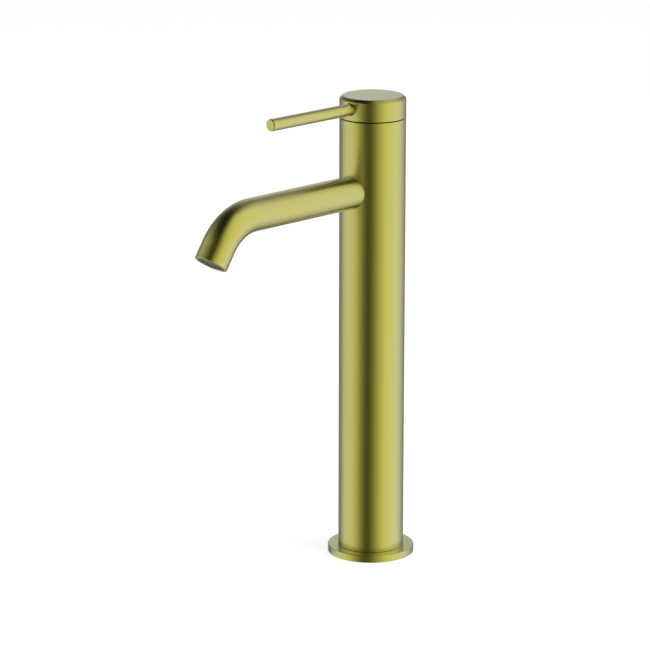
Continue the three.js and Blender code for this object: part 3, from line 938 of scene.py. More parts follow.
@dataclass
class Foot:
    """The plate under the column with its seal, and the brass plug that takes the hoses and the stud."""

    flange_edge: float = 0.5 * MM
    sole_edge: float = 0.2 * MM
    seal_inset: float = 2.5 * MM  # from the flange's rim to the seal's groove
    seal_width: float = 3.4 * MM
    seal_rib: float = 0.5 * MM  # height of the two ribs
    seal_edge: float = 0.15 * MM
    insert_edge: float = 0.5 * MM
    hose_radius: float = 5.0 * MM  # M10 x 1
    hose_thread: Thread = Thread(depth=0.4 * MM, pitch=1.0 * MM)
    hose_depth: float = 12.0 * MM
    passage: float = 3.0 * MM  # radius of the way from a hose up to its riser
    stud_radius: float = 4.0 * MM  # M8
    stud_thread: Thread = Thread(depth=0.6 * MM, pitch=1.25 * MM)
    stud_depth: float = 14.0 * MM
    stud_offset: float = 10.5 * MM  # behind the column's axis
    stud_drill: float = 1.5 * MM  # how far the drill's point goes past the socket
    mouth: float = 0.5 * MM  # countersink of each socket
    thread_end: float = 1.0 * MM  # from the end of a thread to its socket's floor

    def __post_init__(self) -> None:
        """Takes the sizes that the frame settles."""
        self.bore = radius_of("column") - Column.wall
        self.flange_radius = radius_of("base_flange")
        self.flange_top = height_span("column")[0]
        self.insert_radius = radius_of("foot_insert")
        self.insert_top = height_span("foot_insert")[1]

    def flange(self) -> None:
        """Turns the round plate, with the groove for its seal."""
        outer = self.flange_radius - self.seal_inset
        inner = outer - self.seal_width - 2 * RING_PLAY
        depth = height_span("base_seal")[1] + RING_PLAY
        outline = [
            (self.bore, 0), (inner, 0), (inner, depth), (outer, depth), (outer, 0),
            (self.flange_radius, 0), (self.flange_radius, self.flange_top), (self.bore, self.flange_top),
        ]
        rim = self.flange_radius - self.flange_edge
        blank = Workpiece.turned(outline, steps=FINE_TURN)
        blank.eased(self.flange_edge, segments=5, where=lambda edge: edge.xy.length > rim and edge.z > depth)
        blank.eased(self.sole_edge, segments=3, where=lambda edge: edge.xy.length > rim and edge.z < EDGE)
        blank.eased(where=lambda edge: edge.xy.length < rim and edge.z < EDGE)
        blank.finished("base_flange", Lay.ROUND)

    def seal(self) -> None:
        """Turns the flat seal, with the two ribs that press on the deck."""
        low, high = height_span("base_seal")
        outer = radius_of("base_seal")
        inner = outer - self.seal_width
        rib, third = self.seal_rib, self.seal_width / 3
        outline = [
            (inner, low + rib), (inner + rib, low), (inner + third, low + rib), (outer - third, low + rib),
            (outer - rib, low), (outer, low + rib), (outer, high - rib), (outer - rib, high),
            (inner + rib, high), (inner, high - rib),
        ]
        Workpiece.turned(outline, steps=FINE_TURN).eased(self.seal_edge).finished("base_seal", Lay.ROUND)

    def threaded_socket(self, radius: float, thread: Thread, depth: float) -> Profile:
        """The outline of a threaded socket in the underside.

        Args:
            radius: the thread's outer radius.
            thread: its thread.
            depth: how deep the socket is.

        Returns:
            The outline, from past its mouth to the edge of its floor.
        """
        outline = [(0, -OVERRUN), (radius + self.mouth + OVERRUN, -OVERRUN)]
        outline += thread.stretch(radius, self.mouth, depth - self.thread_end)
        return [*outline, (radius - thread.depth, depth)]

    def inlet(self, riser: str) -> Workpiece:
        """The cutter for one inlet: a threaded hose socket below, a riser's socket above.

        Args:
            riser: the node of the riser that it leads to.

        Returns:
            The cutter, in place.
        """
        floor = height_span(riser)[0] - FIT
        outline = self.threaded_socket(self.hose_radius, self.hose_thread, self.hose_depth)
        outline += [(self.passage, self.hose_depth), (self.passage, floor)]
        outline += Risers.socket(riser, floor, self.insert_top, End.LOWER)
        return Workpiece.turned(outline, standing_at(riser), SMALL_TURN)

    def insert(self) -> None:
        """Turns the brass plug and cuts its sockets."""
        blank = Workpiece.turned(rod(self.insert_radius, 0, self.insert_top)).eased(self.insert_edge)
        outline = self.threaded_socket(self.stud_radius, self.stud_thread, self.stud_depth)
        outline.append((0, self.stud_depth + self.stud_drill))
        stud = Workpiece.turned(outline, standing(0, self.stud_offset), SMALL_TURN)
        blank.carved(*(self.inlet(riser) for riser in RISERS), stud).finished("foot_insert", Lay.ROUND)

    def build(self) -> None:
        """Makes every piece of the foot."""
        self.flange()
        self.seal()
        self.insert()


class End(Enum):
    """The end of a riser, as the node of its seal names it."""

    LOWER = "lower"
    UPPER = "upper"


def seal_node(riser: str, end: End) -> str:
    """The node of the seal at one end of a riser."""
    return f"{riser}_{end.value}_seal"


@dataclass
class Risers:
    """The two copper tubes that carry the water up the column, and the O-rings at their ends."""

    wall: float = 1.0 * MM
    edge: float = 0.25 * MM
    flare: float = 0.5 * MM  # how far the mouth of each socket opens

    @classmethod
    def socket(cls, riser: str, floor: float, mouth: float, end: End) -> Profile:
        """The outline of a riser's socket, from its floor to past its mouth.

        Args:
            riser: the riser's node.
            floor: height of the socket's floor.
            mouth: height of its mouth.
            end: the end of the riser that it takes.

        Returns:
            The outline, which ends on the axis.
        """
        seal = seal_node(riser, end)
        radius, groove = radius_of(riser) + FIT, radius_of(seal) + RING_PLAY
        near, far = sorted(height_span(seal), key=lambda level: abs(level - floor))
        way = math.copysign(1.0, mouth - floor)
        near, far, past = near - way * RING_PLAY, far + way * RING_PLAY, mouth + way * OVERRUN
        return [
            (radius, floor), (radius, near), (groove, near), (groove, far), (radius, far),
            (radius, mouth - way * cls.flare), (radius + cls.flare + OVERRUN, past), (0, past),
        ]

    def build(self) -> None:
        """Draws both tubes and moulds their O-rings."""
        for riser in RISERS:
            place, radius = standing_at(riser), radius_of(riser)
            tube = Workpiece.turned(ring(radius - self.wall, radius, *height_span(riser)), place, SMALL_TURN)
            tube.eased(self.edge).finished(riser, Lay.LENGTHWISE, place)
            for end in End:
                seal = seal_node(riser, end)
                outline = oval(radius + RING_PLAY, radius_of(seal), *height_span(seal))
                Workpiece.turned(outline, place, SMALL_TURN).finished(seal, Lay.ROUND, place)


@dataclass
class Valve:
    """The brass body in the column, which holds the cartridge and leads the water to it and to the spout."""

    wall: float = 1.9 * MM
    edge: float = 0.4 * MM
    inlet_radius: float = 3.0 * MM  # of each way up to the cartridge
    drop_radius: float = 3.2 * MM  # of the way down from the cartridge
    outlet_radius: float = 3.9 * MM  # of the way out to the spout
    outlet_offset: float = 8.0 * MM  # how far behind the column's axis the two meet
    nut_thread: Thread = Thread(depth=0.45 * MM, pitch=1.0 * MM)
    thread_start: float = 1.0 * MM  # from the top down to the thread
    thread_end: float = 0.5 * MM  # from the thread down to the plain bore

    def __post_init__(self) -> None:
        """Takes the sizes that the frame settles."""
        self.radius = radius_of("valve_body")
        self.low, self.top = height_span("valve_body")
        self.bore = self.radius - self.wall
        self.seat = height_span("cartridge_base")[0]
        self.pocket_top = height_span("hot_riser")[1] + FIT

    def riser_cutter(self, riser: str) -> Workpiece:
        """The cutter for a riser's socket in the underside."""
        outline = [(0, self.pocket_top)] + Risers.socket(riser, self.pocket_top, self.low, End.UPPER)
        return Workpiece.turned(outline, standing_at(riser), SMALL_TURN)

    def inlet_cutter(self, riser: str) -> Workpiece:
        """The cutter for the way up from a riser to the cartridge."""
        outline = rod(self.inlet_radius, self.pocket_top - OVERRUN, self.seat + OVERRUN)
        return Workpiece.turned(outline, standing_at(riser.replace("riser", "port_seal")), SMALL_TURN)

    def outlet_cutters(self) -> tuple[Workpiece, Workpiece]:
        """The cutters for the way down from the cartridge and out to the spout.

        Returns:
            The one for the way out and the one for the way down, in place.
        """
        height = middle("spout_nipple").z
        step = forward_span("spout_nipple")[0] - FIT
        hole = radius_of("spout_nipple") + FIT
        root = forward_span("spout_tube")[0] - FIT
        recess = radius_of("spout_tube") + FIT
        back, front = -self.outlet_offset, self.radius + OVERRUN
        out = Workpiece.turned([
            (0, back), (self.outlet_radius, back), (self.outlet_radius, step), (hole, step),
            (hole, root), (recess, root), (recess, front), (0, front),
        ], pointing_forward(height), SMALL_TURN)
        drop = Workpiece.turned(
            rod(self.drop_radius, height, self.seat + OVERRUN), standing(0, self.outlet_offset), SMALL_TURN,
        )
        return out, drop

    def build(self) -> None:
        """Turns the body, threads its mouth for the nut and drills its ways."""
        nut_low, _ = height_span("cartridge_nut")
        crest = self.bore + self.nut_thread.depth
        outline = [(0, self.low), (self.radius, self.low), (self.radius, self.top), (self.bore, self.top)]
        outline += self.nut_thread.stretch(crest, self.top - self.thread_start, nut_low)
        outline += [(self.bore, nut_low - self.thread_end), (self.bore, self.seat), (0, self.seat)]
        blank = Workpiece.turned(outline)
        blank.eased(self.edge, where=lambda edge: edge.xy.length > self.radius - EDGE)
        blank.carved(
            *(self.riser_cutter(riser) for riser in RISERS),
            *(self.inlet_cutter(riser) for riser in RISERS),
            *self.outlet_cutters(),
        ).finished("valve_body", Lay.ROUND)


# ---- Spout ----


@dataclass
class Spout:
    """The tube that comes out of the column, bends down and ends in the outlet."""

    straight: float = 113.9 * MM  # from the column's axis to the bend
    bend: float = 36.6 * MM  # radius of the bend
    turn: float = math.radians(56)  # how far round the bend goes
    last: float = 13.0 * MM  # from the bend to the outlet
    wall: float = 2.95 * MM
    boss: float = 14.0 * MM  # how far the root is bored only for the nipple
    nipple_bore: float = 3.8 * MM  # radius
    nipple_thread: Thread = Thread(depth=0.35 * MM, pitch=1.0 * MM)
    nipple_plain: float = 0.8 * MM  # bare metal at each end and each side of the spout's root
    seal_inner: float = 7.4 * MM  # inner radius of the groove in the root
    seal_width: float = 2.0 * MM
    seal_depth: float = 1.7 * MM
    socket_wall: float = 2.0 * MM  # around the socket for the outlet's insert
    socket_depth: float = 9.0 * MM
    rim_edge: float = 0.20 * MM
    bend_steps: int = 40  # facets along the bend

    def __post_init__(self) -> None:
        """Takes the sizes that the frame settles."""
        self.radius, self.root = radius_of("spout_tube"), forward_span("spout_tube")[0]
        self.height = middle("spout_nipple").z
        self.nipple_radius = radius_of("spout_nipple")
        self.bore = self.radius - self.wall
        self.length = self.straight - self.root + self.bend * self.turn + self.last

    def outlet(self) -> Matrix:
        """Works out where the spout ends.

        Returns:
            The place of the outlet, whose +Z runs back into the spout.
        """
        forward = self.straight + self.bend * math.sin(self.turn) + self.last * math.cos(self.turn)
        drop = self.bend * (1 - math.cos(self.turn)) + self.last * math.sin(self.turn)
        turned = Matrix.Rotation(self.turn - QUARTER, 4, "X")
        return Matrix.Translation((0, -forward, self.height - drop)) @ turned

    def along(self, point: Vector) -> float:
        """Measures how far along the spout a point lies.

        Args:
            point: the point.

        Returns:
            Its distance from the root, along the middle line.
        """
        if -point.y <= self.straight:
            return -point.y - self.root
        angle = math.atan2(-self.straight - point.y, point.z - self.height + self.bend)
        if 0 <= angle <= self.turn:
            return self.straight - self.root + self.bend * angle
        return self.length - (self.outlet().inverted() @ point).z

    def swept(self, radius: float, start: float, overrun: float = 0.0) -> Workpiece:
        """A closed rod along the spout's middle line.

        Args:
            radius: the rod's radius.
            start: where it begins in front of the column's axis.
            overrun: how far it runs past the outlet.

        Returns:
            The rod.
        """
        made = bmesh.new()
        bmesh.ops.create_circle(
            made, cap_ends=False, radius=radius, segments=TURN,
            matrix=Matrix.Translation((0, -start, 0)) @ pointing_forward(self.height),
        )
        self._drawn_out(made, made.edges[:], Vector((0, start - self.straight, 0)))
        end_verts = [vert for vert in made.verts if abs(vert.co.y + self.straight) < SAME_SPOT]
        end_edges = [edge for edge in made.edges if all(vert in end_verts for vert in edge.verts)]
        spun = bmesh.ops.spin(
            made, geom=end_edges + end_verts,
            cent=(0, -self.straight, self.height - self.bend), axis=(1, 0, 0), angle=self.turn,
            steps=self.bend_steps, use_duplicate=False, use_merge=False,
        )
        last = [item for item in spun["geom_last"] if isinstance(item, bmesh.types.BMEdge)]
        way = Vector((0, -math.cos(self.turn), -math.sin(self.turn)))
        self._drawn_out(made, last, way * (self.last + overrun))
        bmesh.ops.holes_fill(made, edges=[edge for edge in made.edges if edge.is_boundary], sides=0)
        return Workpiece(made).cleaned()

    @staticmethod
    def _drawn_out(made: bmesh.types.BMesh, edges: Sequence[bmesh.types.BMEdge], way: Vector) -> None:
        """Draws a loop of edges out into a wall.

        Args:
            made: the bmesh that the edges are in.
            edges: the loop.
            way: how far it is drawn, and which way.
        """
        grown = bmesh.ops.extrude_edge_only(made, edges=edges)
        corners = [item for item in grown["geom"] if isinstance(item, bmesh.types.BMVert)]
        bmesh.ops.translate(made, verts=corners, vec=way)

    def tube(self) -> None:
        """Bends the spout, bores it and cuts its root and its outlet."""
        root_place, outlet = pointing_forward(self.height), self.outlet()
        before_root, boss_end = self.root - OVERRUN, self.root + self.boss
        seal_outer = self.seal_inner + self.seal_width
        groove = ring(self.seal_inner, seal_outer, before_root, self.root + self.seal_depth)
        blank = self.swept(self.radius, self.root).carved(
            self.swept(self.bore, boss_end, OVERRUN),
            Workpiece.turned(rod(self.nipple_radius + FIT, before_root, boss_end + OVERRUN), root_place),
            Workpiece.turned(groove, root_place),
            Workpiece.turned(rod(self.radius - self.socket_wall, -OVERRUN, self.socket_depth), outlet),
        )
        back = outlet.inverted()
        blank.eased(self.rim_edge, segments=4, where=lambda edge: abs((back @ edge).z) < EDGE)
        piece = blank.finished("spout_tube", Lay.SWEPT)
        lengths = piece.data.attributes.new(ALONG, "FLOAT", "POINT")
        for index, vertex in enumerate(piece.data.vertices):
            lengths.data[index].value = self.along(vertex.co)

    def nipple(self) -> None:
        """Turns the threaded nipple that holds the spout in the valve body."""
        start, end = forward_span("spout_nipple")
        plain, end_radius = self.nipple_plain, self.nipple_radius - self.nipple_plain / 2
        outline = [(self.nipple_bore, start), (end_radius, start)]
        for low, high in ((start + plain, self.root - plain), (self.root + plain, end - plain)):
            outline += self.nipple_thread.stretch(self.nipple_radius, low, high)
        outline += [(end_radius, end), (self.nipple_bore, end)]
        place = pointing_forward(self.height)
        Workpiece.turned(outline, place, SMALL_TURN).finished("spout_nipple", Lay.ROUND, place)

    def seal(self) -> None:
        """Moulds the O-ring at the spout's root."""
        inner, outer = self.seal_inner + RING_PLAY, self.seal_inner + self.seal_width - RING_PLAY
        place = pointing_forward(self.height)
        outline = oval(inner, outer, *forward_span("spout_seal"))
        Workpiece.turned(outline, place).finished("spout_seal", Lay.ROUND, place)

    def build(self) -> None:
        """Makes every piece of the spout."""
        self.tube()
        self.nipple()
        self.seal()


@dataclass
class Aerator:
    """The insert in the outlet: a threaded ring with notches for its key, and a plate full of fine holes."""

    place: Matrix  # of the outlet
    recess: float = 0.2 * MM  # from the spout's rim in to the insert's face
    length: float = 7.0 * MM
    ring_wall: float = 1.65 * MM
    ring_edge: float = 0.2 * MM
    collar: float = 1.6 * MM  # height of the plain stretch at the ring's face
    thread: Thread = Thread(depth=0.35 * MM, pitch=0.75 * MM)
    thread_start: float = 0.2 * MM  # from the collar to the thread
    thread_end: float = 0.6 * MM  # from the thread to the ring's inner end
    notches: int = 16
    notch_width: float = 1.0 * MM
    notch_depth: float = 0.7 * MM
    notch_inset: float = 0.35  # share of the ring's wall between its inside and a notch's middle
    plate_inset: float = 0.6 * MM  # from the insert's face in to the plate
    plate_thickness: float = 4.0 * MM
    plate_edge: float = 0.25 * MM
    hole_radius: float = 0.40 * MM
    hole_sides: int = 8
    hole_pitch: float = 1.12 * MM
    hole_rings: int = 5
    more_holes: int = 6  # how many more a ring of holes has than the one inside it
    seal_height: float = 0.7 * MM

    def __post_init__(self) -> None:
        """Takes the sizes that the frame settles."""
        self.radius = radius_of("aerator_shell")
        self.inner = self.radius - self.ring_wall
        self.top = self.recess + self.length
        self.plate_low = self.recess + self.plate_inset
        self.plate_high = self.plate_low + self.plate_thickness

    def notch(self) -> Workpiece:
        """The cutter for one of the key's notches.

        Returns:
            The cutter, beside the axis.
        """
        where = standing(self.inner + self.notch_inset * self.ring_wall)
        low, high = self.recess - OVERRUN, self.recess + self.notch_depth
        return Workpiece.block(self.ring_wall, self.notch_width, low, high, where)

    def shell(self) -> None:
        """Turns the ring, threads it and cuts its notches."""
        collar_top = self.recess + self.collar
        start, end = collar_top + self.thread_start, self.top - self.thread_end
        outline = [(self.inner, self.recess), (self.radius, self.recess), (self.radius, collar_top)]
        outline += self.thread.stretch(self.radius, start, end)
        outline += [(self.radius - self.thread.depth, self.top), (self.inner, self.top)]
        blank, back = Workpiece.turned(outline, self.place), self.place.inverted()
        blank.eased(self.ring_edge, where=lambda edge: (back @ edge).z < self.recess + EDGE)
        blank.carved(Workpiece.around(self.notches, self.notch, self.place))
        blank.finished("aerator_shell", Lay.ROUND, self.place, OUTLET_PLASTIC)

    def hole(self, distance: float) -> Workpiece:
        """The cutter for one hole of the plate, at a distance from its middle."""
        low, high = self.plate_low - OVERRUN, self.plate_high + OVERRUN
        return Workpiece.prism(self.hole_sides, self.hole_radius, low, high, standing(distance))

    def screen(self) -> None:
        """Moulds the plate and its rings of holes."""
        blank = Workpiece.turned(rod(self.inner - FIT, self.plate_low, self.plate_high), self.place)
        blank.eased(self.plate_edge)
        holes = [self.hole(0.0)]
        for index in range(1, self.hole_rings + 1):
            cut = partial(self.hole, index * self.hole_pitch)
            holes.append(Workpiece.around(self.more_holes * index, cut))
        blank.carved(Workpiece.gathered(holes).moved(self.place))
        blank.finished("aerator_screen", Lay.NONE, self.place, OUTLET_PLASTIC)

    def seal(self) -> None:
        """Moulds the ring that the insert is screwed against."""
        outline = oval(self.inner, self.radius, self.top, self.top + self.seal_height)
        Workpiece.turned(outline, self.place).finished("aerator_seal", Lay.ROUND, self.place)

    def build(self) -> None:
        """Makes every piece of the insert."""
        self.shell()
        self.screen()
        self.seal()


# ---- Cartridge ----


@dataclass(frozen=True)
class Port:
    """One way through the cartridge's base and its fixed disc.

    Attributes:
        seal: the node of its seal.
        place: where its axis stands.
        radius: its radius.
    """

    seal: str
    place: Matrix
    radius: float

    def cutter(self, low: float, high: float, pocket: float = 0.0, pocket_top: float = 0.0) -> Workpiece:
        """The cutter that goes through a piece at this port.

        Args:
            low: height of the piece's underside.
            high: height of its top.
            pocket: how much wider it is below, for the seal.
            pocket_top: how high that wider part goes.

        Returns:
            The cutter, in place.
        """
        outline = [(0, low - OVERRUN), (self.radius + pocket, low - OVERRUN)]
        if pocket > 0:
            outline += [(self.radius + pocket, pocket_top), (self.radius, pocket_top)]
        outline += [(self.radius, high + OVERRUN), (0, high + OVERRUN)]
        return Workpiece.turned(outline, self.place, SMALL_TURN)


@dataclass
class Cartridge:
    """What stands still in the cartridge: its base and seals, the fixed disc, the housing and the nut."""

    seal_width: float = 1.1 * MM
    base_edge: float = 0.3 * MM
    disc_edge: float = 0.2 * MM
    disc_notch: float = 1.4 * MM  # radius
    disc_turn: float = math.radians(40)  # how far round from +X the first notch is
    housing_wall: float = 2.3 * MM
    housing_edge: float = 0.25 * MM
    windows: int = 4
    window_width: float = 5.0 * MM
    window_low: float = 4.0 * MM  # above the housing's underside
    window_high: float = 7.0 * MM  # above it too
    window_edge: float = 0.5 * MM
    window_turn: float = math.radians(45)
    nut_thread: Thread = Thread(depth=0.4 * MM, pitch=1.0 * MM)
    nut_height: float = 3.0 * MM  # of its threaded part
    nut_hole: float = 11.5 * MM  # radius
    nut_edge: float = 0.4 * MM
    nut_corner: float = 0.9 * MM  # how far the hexagon's corners are turned off
    hexagon_low: float = 0.5 * MM  # above the nut's underside

    def __post_init__(self) -> None:
        """Takes the sizes that the frame settles."""
        self.radius = radius_of("cartridge_base")
        self.ports = [self.port(name) for name in ("hot_port_seal", "cold_port_seal", "outlet_port_seal")]

    def port(self, seal: str) -> Port:
        """The port that a seal lies around."""
        return Port(seal, standing_at(seal), radius_of(seal) - self.seal_width - RING_PLAY)

    def base(self) -> None:
        """Moulds the base and the seals under it."""
        low, high = height_span("cartridge_base")
        seal_low, seal_high = height_span("outlet_port_seal")
        blank = Workpiece.turned(rod(self.radius, low, high)).eased(self.base_edge)
        pocket, pocket_top = self.seal_width + 2 * RING_PLAY, seal_high + RING_PLAY
        blank.carved(*(port.cutter(low, high, pocket, pocket_top) for port in self.ports))
        blank.finished("cartridge_base", Lay.NONE)
        for port in self.ports:
            outline = oval(port.radius + RING_PLAY, radius_of(port.seal), seal_low, seal_high)
            Workpiece.turned(outline, port.place, SMALL_TURN).finished(port.seal, Lay.ROUND, port.place)

    def fixed_disc(self) -> None:
        """Grinds the fixed disc, with its ports and the two notches that hold it."""
        radius, (low, high) = radius_of("fixed_disc"), height_span("fixed_disc")
        blank = Workpiece.turned(rod(radius, low, high)).eased(self.disc_edge)
        notches = Workpiece.around(2, lambda: Workpiece.turned(
            rod(self.disc_notch, low - OVERRUN, high + OVERRUN), standing(radius), SMALL_TURN,
        ), Matrix.Rotation(self.disc_turn, 4, "Z"))
        blank.carved(*(port.cutter(low, high) for port in self.ports), notches)
        blank.finished("fixed_disc", Lay.NONE)

    def housing(self) -> None:
        """Moulds the housing, with the windows that its clips snap into."""
        low, high = height_span("cartridge_housing")
        inner = self.radius - self.housing_wall
        neck = radius_of("rotor") - Rotor.shoulder + FIT
        roof = PIVOT + Rotor.flange_rise + FIT
        blank = Workpiece.turned([
            (inner, low), (self.radius, low), (self.radius, high), (neck, high), (neck, roof), (inner, roof),
        ]).eased(self.housing_edge)
        windows = Workpiece.around(self.windows, lambda: Workpiece.block(
            2 * (self.housing_wall + OVERRUN), self.window_width,
            low + self.window_low, low + self.window_high, standing(self.radius),
        ).eased(self.window_edge), Matrix.Rotation(self.window_turn, 4, "Z"))
        blank.carved(windows).finished("cartridge_housing", Lay.NONE)

    def nut(self) -> None:
        """Turns the nut's thread and mills its hexagon."""
        low, high = height_span("cartridge_nut")
        shoulder, above, below = low + self.nut_height, high + OVERRUN, low - OVERRUN
        corner, outside = self.radius - self.nut_corner, self.radius + OVERRUN
        outline = [(0, low)] + self.nut_thread.stretch(self.radius, low, shoulder)
        outline += [(self.radius - self.nut_thread.depth, shoulder), (0, shoulder)]
        hexagon = Workpiece.prism(HEXAGON, self.radius, low + self.hexagon_low, high)
        corners = Workpiece.turned([
            (corner, above), (corner, high), (outside, high - (outside - corner) / 2), (outside, above),
        ])
        hole = Workpiece.turned([
            (0, below), (self.nut_hole, below), (self.nut_hole, high - self.nut_edge),
            (self.nut_hole + self.nut_edge + OVERRUN, above), (0, above),
        ])
        Workpiece.turned(outline).joined(hexagon).carved(corners, hole).finished("cartridge_nut", Lay.ROUND)

    def build(self) -> None:
        """Makes every piece of the cartridge that stands still."""
        self.base()
        self.fixed_disc()
        self.housing()
        self.nut()


@dataclass
class Rotor:
    """What turns in the cartridge: the rotor with its pin, and under it the disc that slides."""

    shoulder: float = 4.3 * MM  # from the flange's rim in to the neck
    flange_rise: float = 2.5 * MM  # from the pivot up to the flange's top
    rotor_edge: float = 0.25 * MM
    slot_width: float = 8.6 * MM
    slot_depth: float = 12.0 * MM
    pin_radius: float = 1.5 * MM
    pin_edge: float = 0.3 * MM
    pockets: int = 8
    pocket_wall: float = 1.0 * MM  # between a pocket and the shoulder's edges
    pocket_length: float = 5.0 * MM
    pocket_depth: float = 1.5 * MM
    disc_edge: float = 0.2 * MM
    disc_notch: float = 1.1 * MM  # radius
    notch_low: float = 1.2 * MM  # above the disc's underside
    chamber_depth: float = 1.4 * MM
    chamber_width: float = 16.4 * MM
    chamber_front: float = 0.5 * MM  # in front of the column's axis
    chamber_back: float = 8.03 * MM  # behind it
    chamber_corner: float = 1.2 * MM
    carrier_edge: float = 0.3 * MM
    ball_hole: float = 2.05 * MM  # radius
    carrier_pockets: int = 6
    carrier_pocket: float = 1.8 * MM  # radius
    carrier_pocket_depth: float = 1.5 * MM
    carrier_pocket_place: float = 0.62  # share of the carrier's radius

    def rotor(self) -> None:
        """Moulds the rotor, with its slot, the pin's hole and the pockets that save plastic."""
        radius, (low, high) = radius_of("rotor"), height_span("rotor")
        neck, flange_top = radius - self.shoulder, PIVOT + self.flange_rise
        blank = Workpiece.turned([
            (0, low), (radius, low), (radius, flange_top), (neck, flange_top), (neck, high), (0, high),
        ]).eased(self.rotor_edge)
        slot = Workpiece.block(self.slot_width, self.slot_depth, low - OVERRUN, high + OVERRUN)
        pin_hole = Workpiece.turned(
            rod(self.pin_radius + FIT, -radius - OVERRUN, radius + OVERRUN), crosswise(PIVOT), SMALL_TURN,
        )
        pockets = Workpiece.around(self.pockets, lambda: Workpiece.block(
            self.shoulder - 2 * self.pocket_wall, self.pocket_length, flange_top - self.pocket_depth,
            flange_top + OVERRUN, standing(radius - self.shoulder / 2),
        ), Matrix.Rotation(math.pi / self.pockets, 4, "Z"))
        blank.carved(slot, pin_hole, pockets).finished("rotor", Lay.NONE)

    def pin(self) -> None:
        """Turns the pin that the spindle lifts about."""
        low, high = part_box("pivot_pin")
        place = crosswise(PIVOT)
        blank = Workpiece.turned(rod(self.pin_radius, low.x, high.x), place, SMALL_TURN)
        blank.eased(self.pin_edge).finished("pivot_pin", Lay.ROUND, place)

    def sliding_disc(self) -> None:
        """Grinds the moving disc, with the chamber where the water mixes."""
        radius, (low, high) = radius_of("moving_disc"), height_span("moving_disc")
        place = standing_at("moving_disc")
        bottom, top = low - OVERRUN, low + self.chamber_depth
        chamber = Workpiece.block(
            self.chamber_width, self.chamber_front + self.chamber_back, bottom, top,
            standing(0, (self.chamber_back - self.chamber_front) / 2),
        ).eased(self.chamber_corner, segments=4, where=lambda edge: bottom + EDGE < edge.z < top - EDGE)
        notches = Workpiece.around(2, lambda: Workpiece.turned(
            rod(self.disc_notch, low + self.notch_low, high + OVERRUN), standing(radius), SMALL_TURN,
        ), place)
        blank = Workpiece.turned(rod(radius, low, high), place).eased(self.disc_edge)
        blank.carved(chamber, notches).finished("moving_disc", Lay.NONE)

    def carrier(self) -> None:
        """Moulds the carrier on the moving disc, with the hole for the spindle's ball."""
        radius, (low, high) = radius_of("disc_carrier"), height_span("disc_carrier")
        place = standing_at("disc_carrier")
        hole = Workpiece.turned(rod(self.ball_hole, low - OVERRUN, high + OVERRUN), place, SMALL_TURN)
        pockets = Workpiece.around(self.carrier_pockets, lambda: Workpiece.turned(
            rod(self.carrier_pocket, high - self.carrier_pocket_depth, high + OVERRUN),
            standing(self.carrier_pocket_place * radius), SMALL_TURN,
        ), place)
        blank = Workpiece.turned(rod(radius, low, high), place).eased(self.carrier_edge)
        blank.carved(hole, pockets).finished("disc_carrier", Lay.NONE)

    def build(self) -> None:
        """Makes every piece that turns in the cartridge."""
        self.rotor()
        self.pin()
        self.sliding_disc()
        self.carrier()


# ---- Handle ----


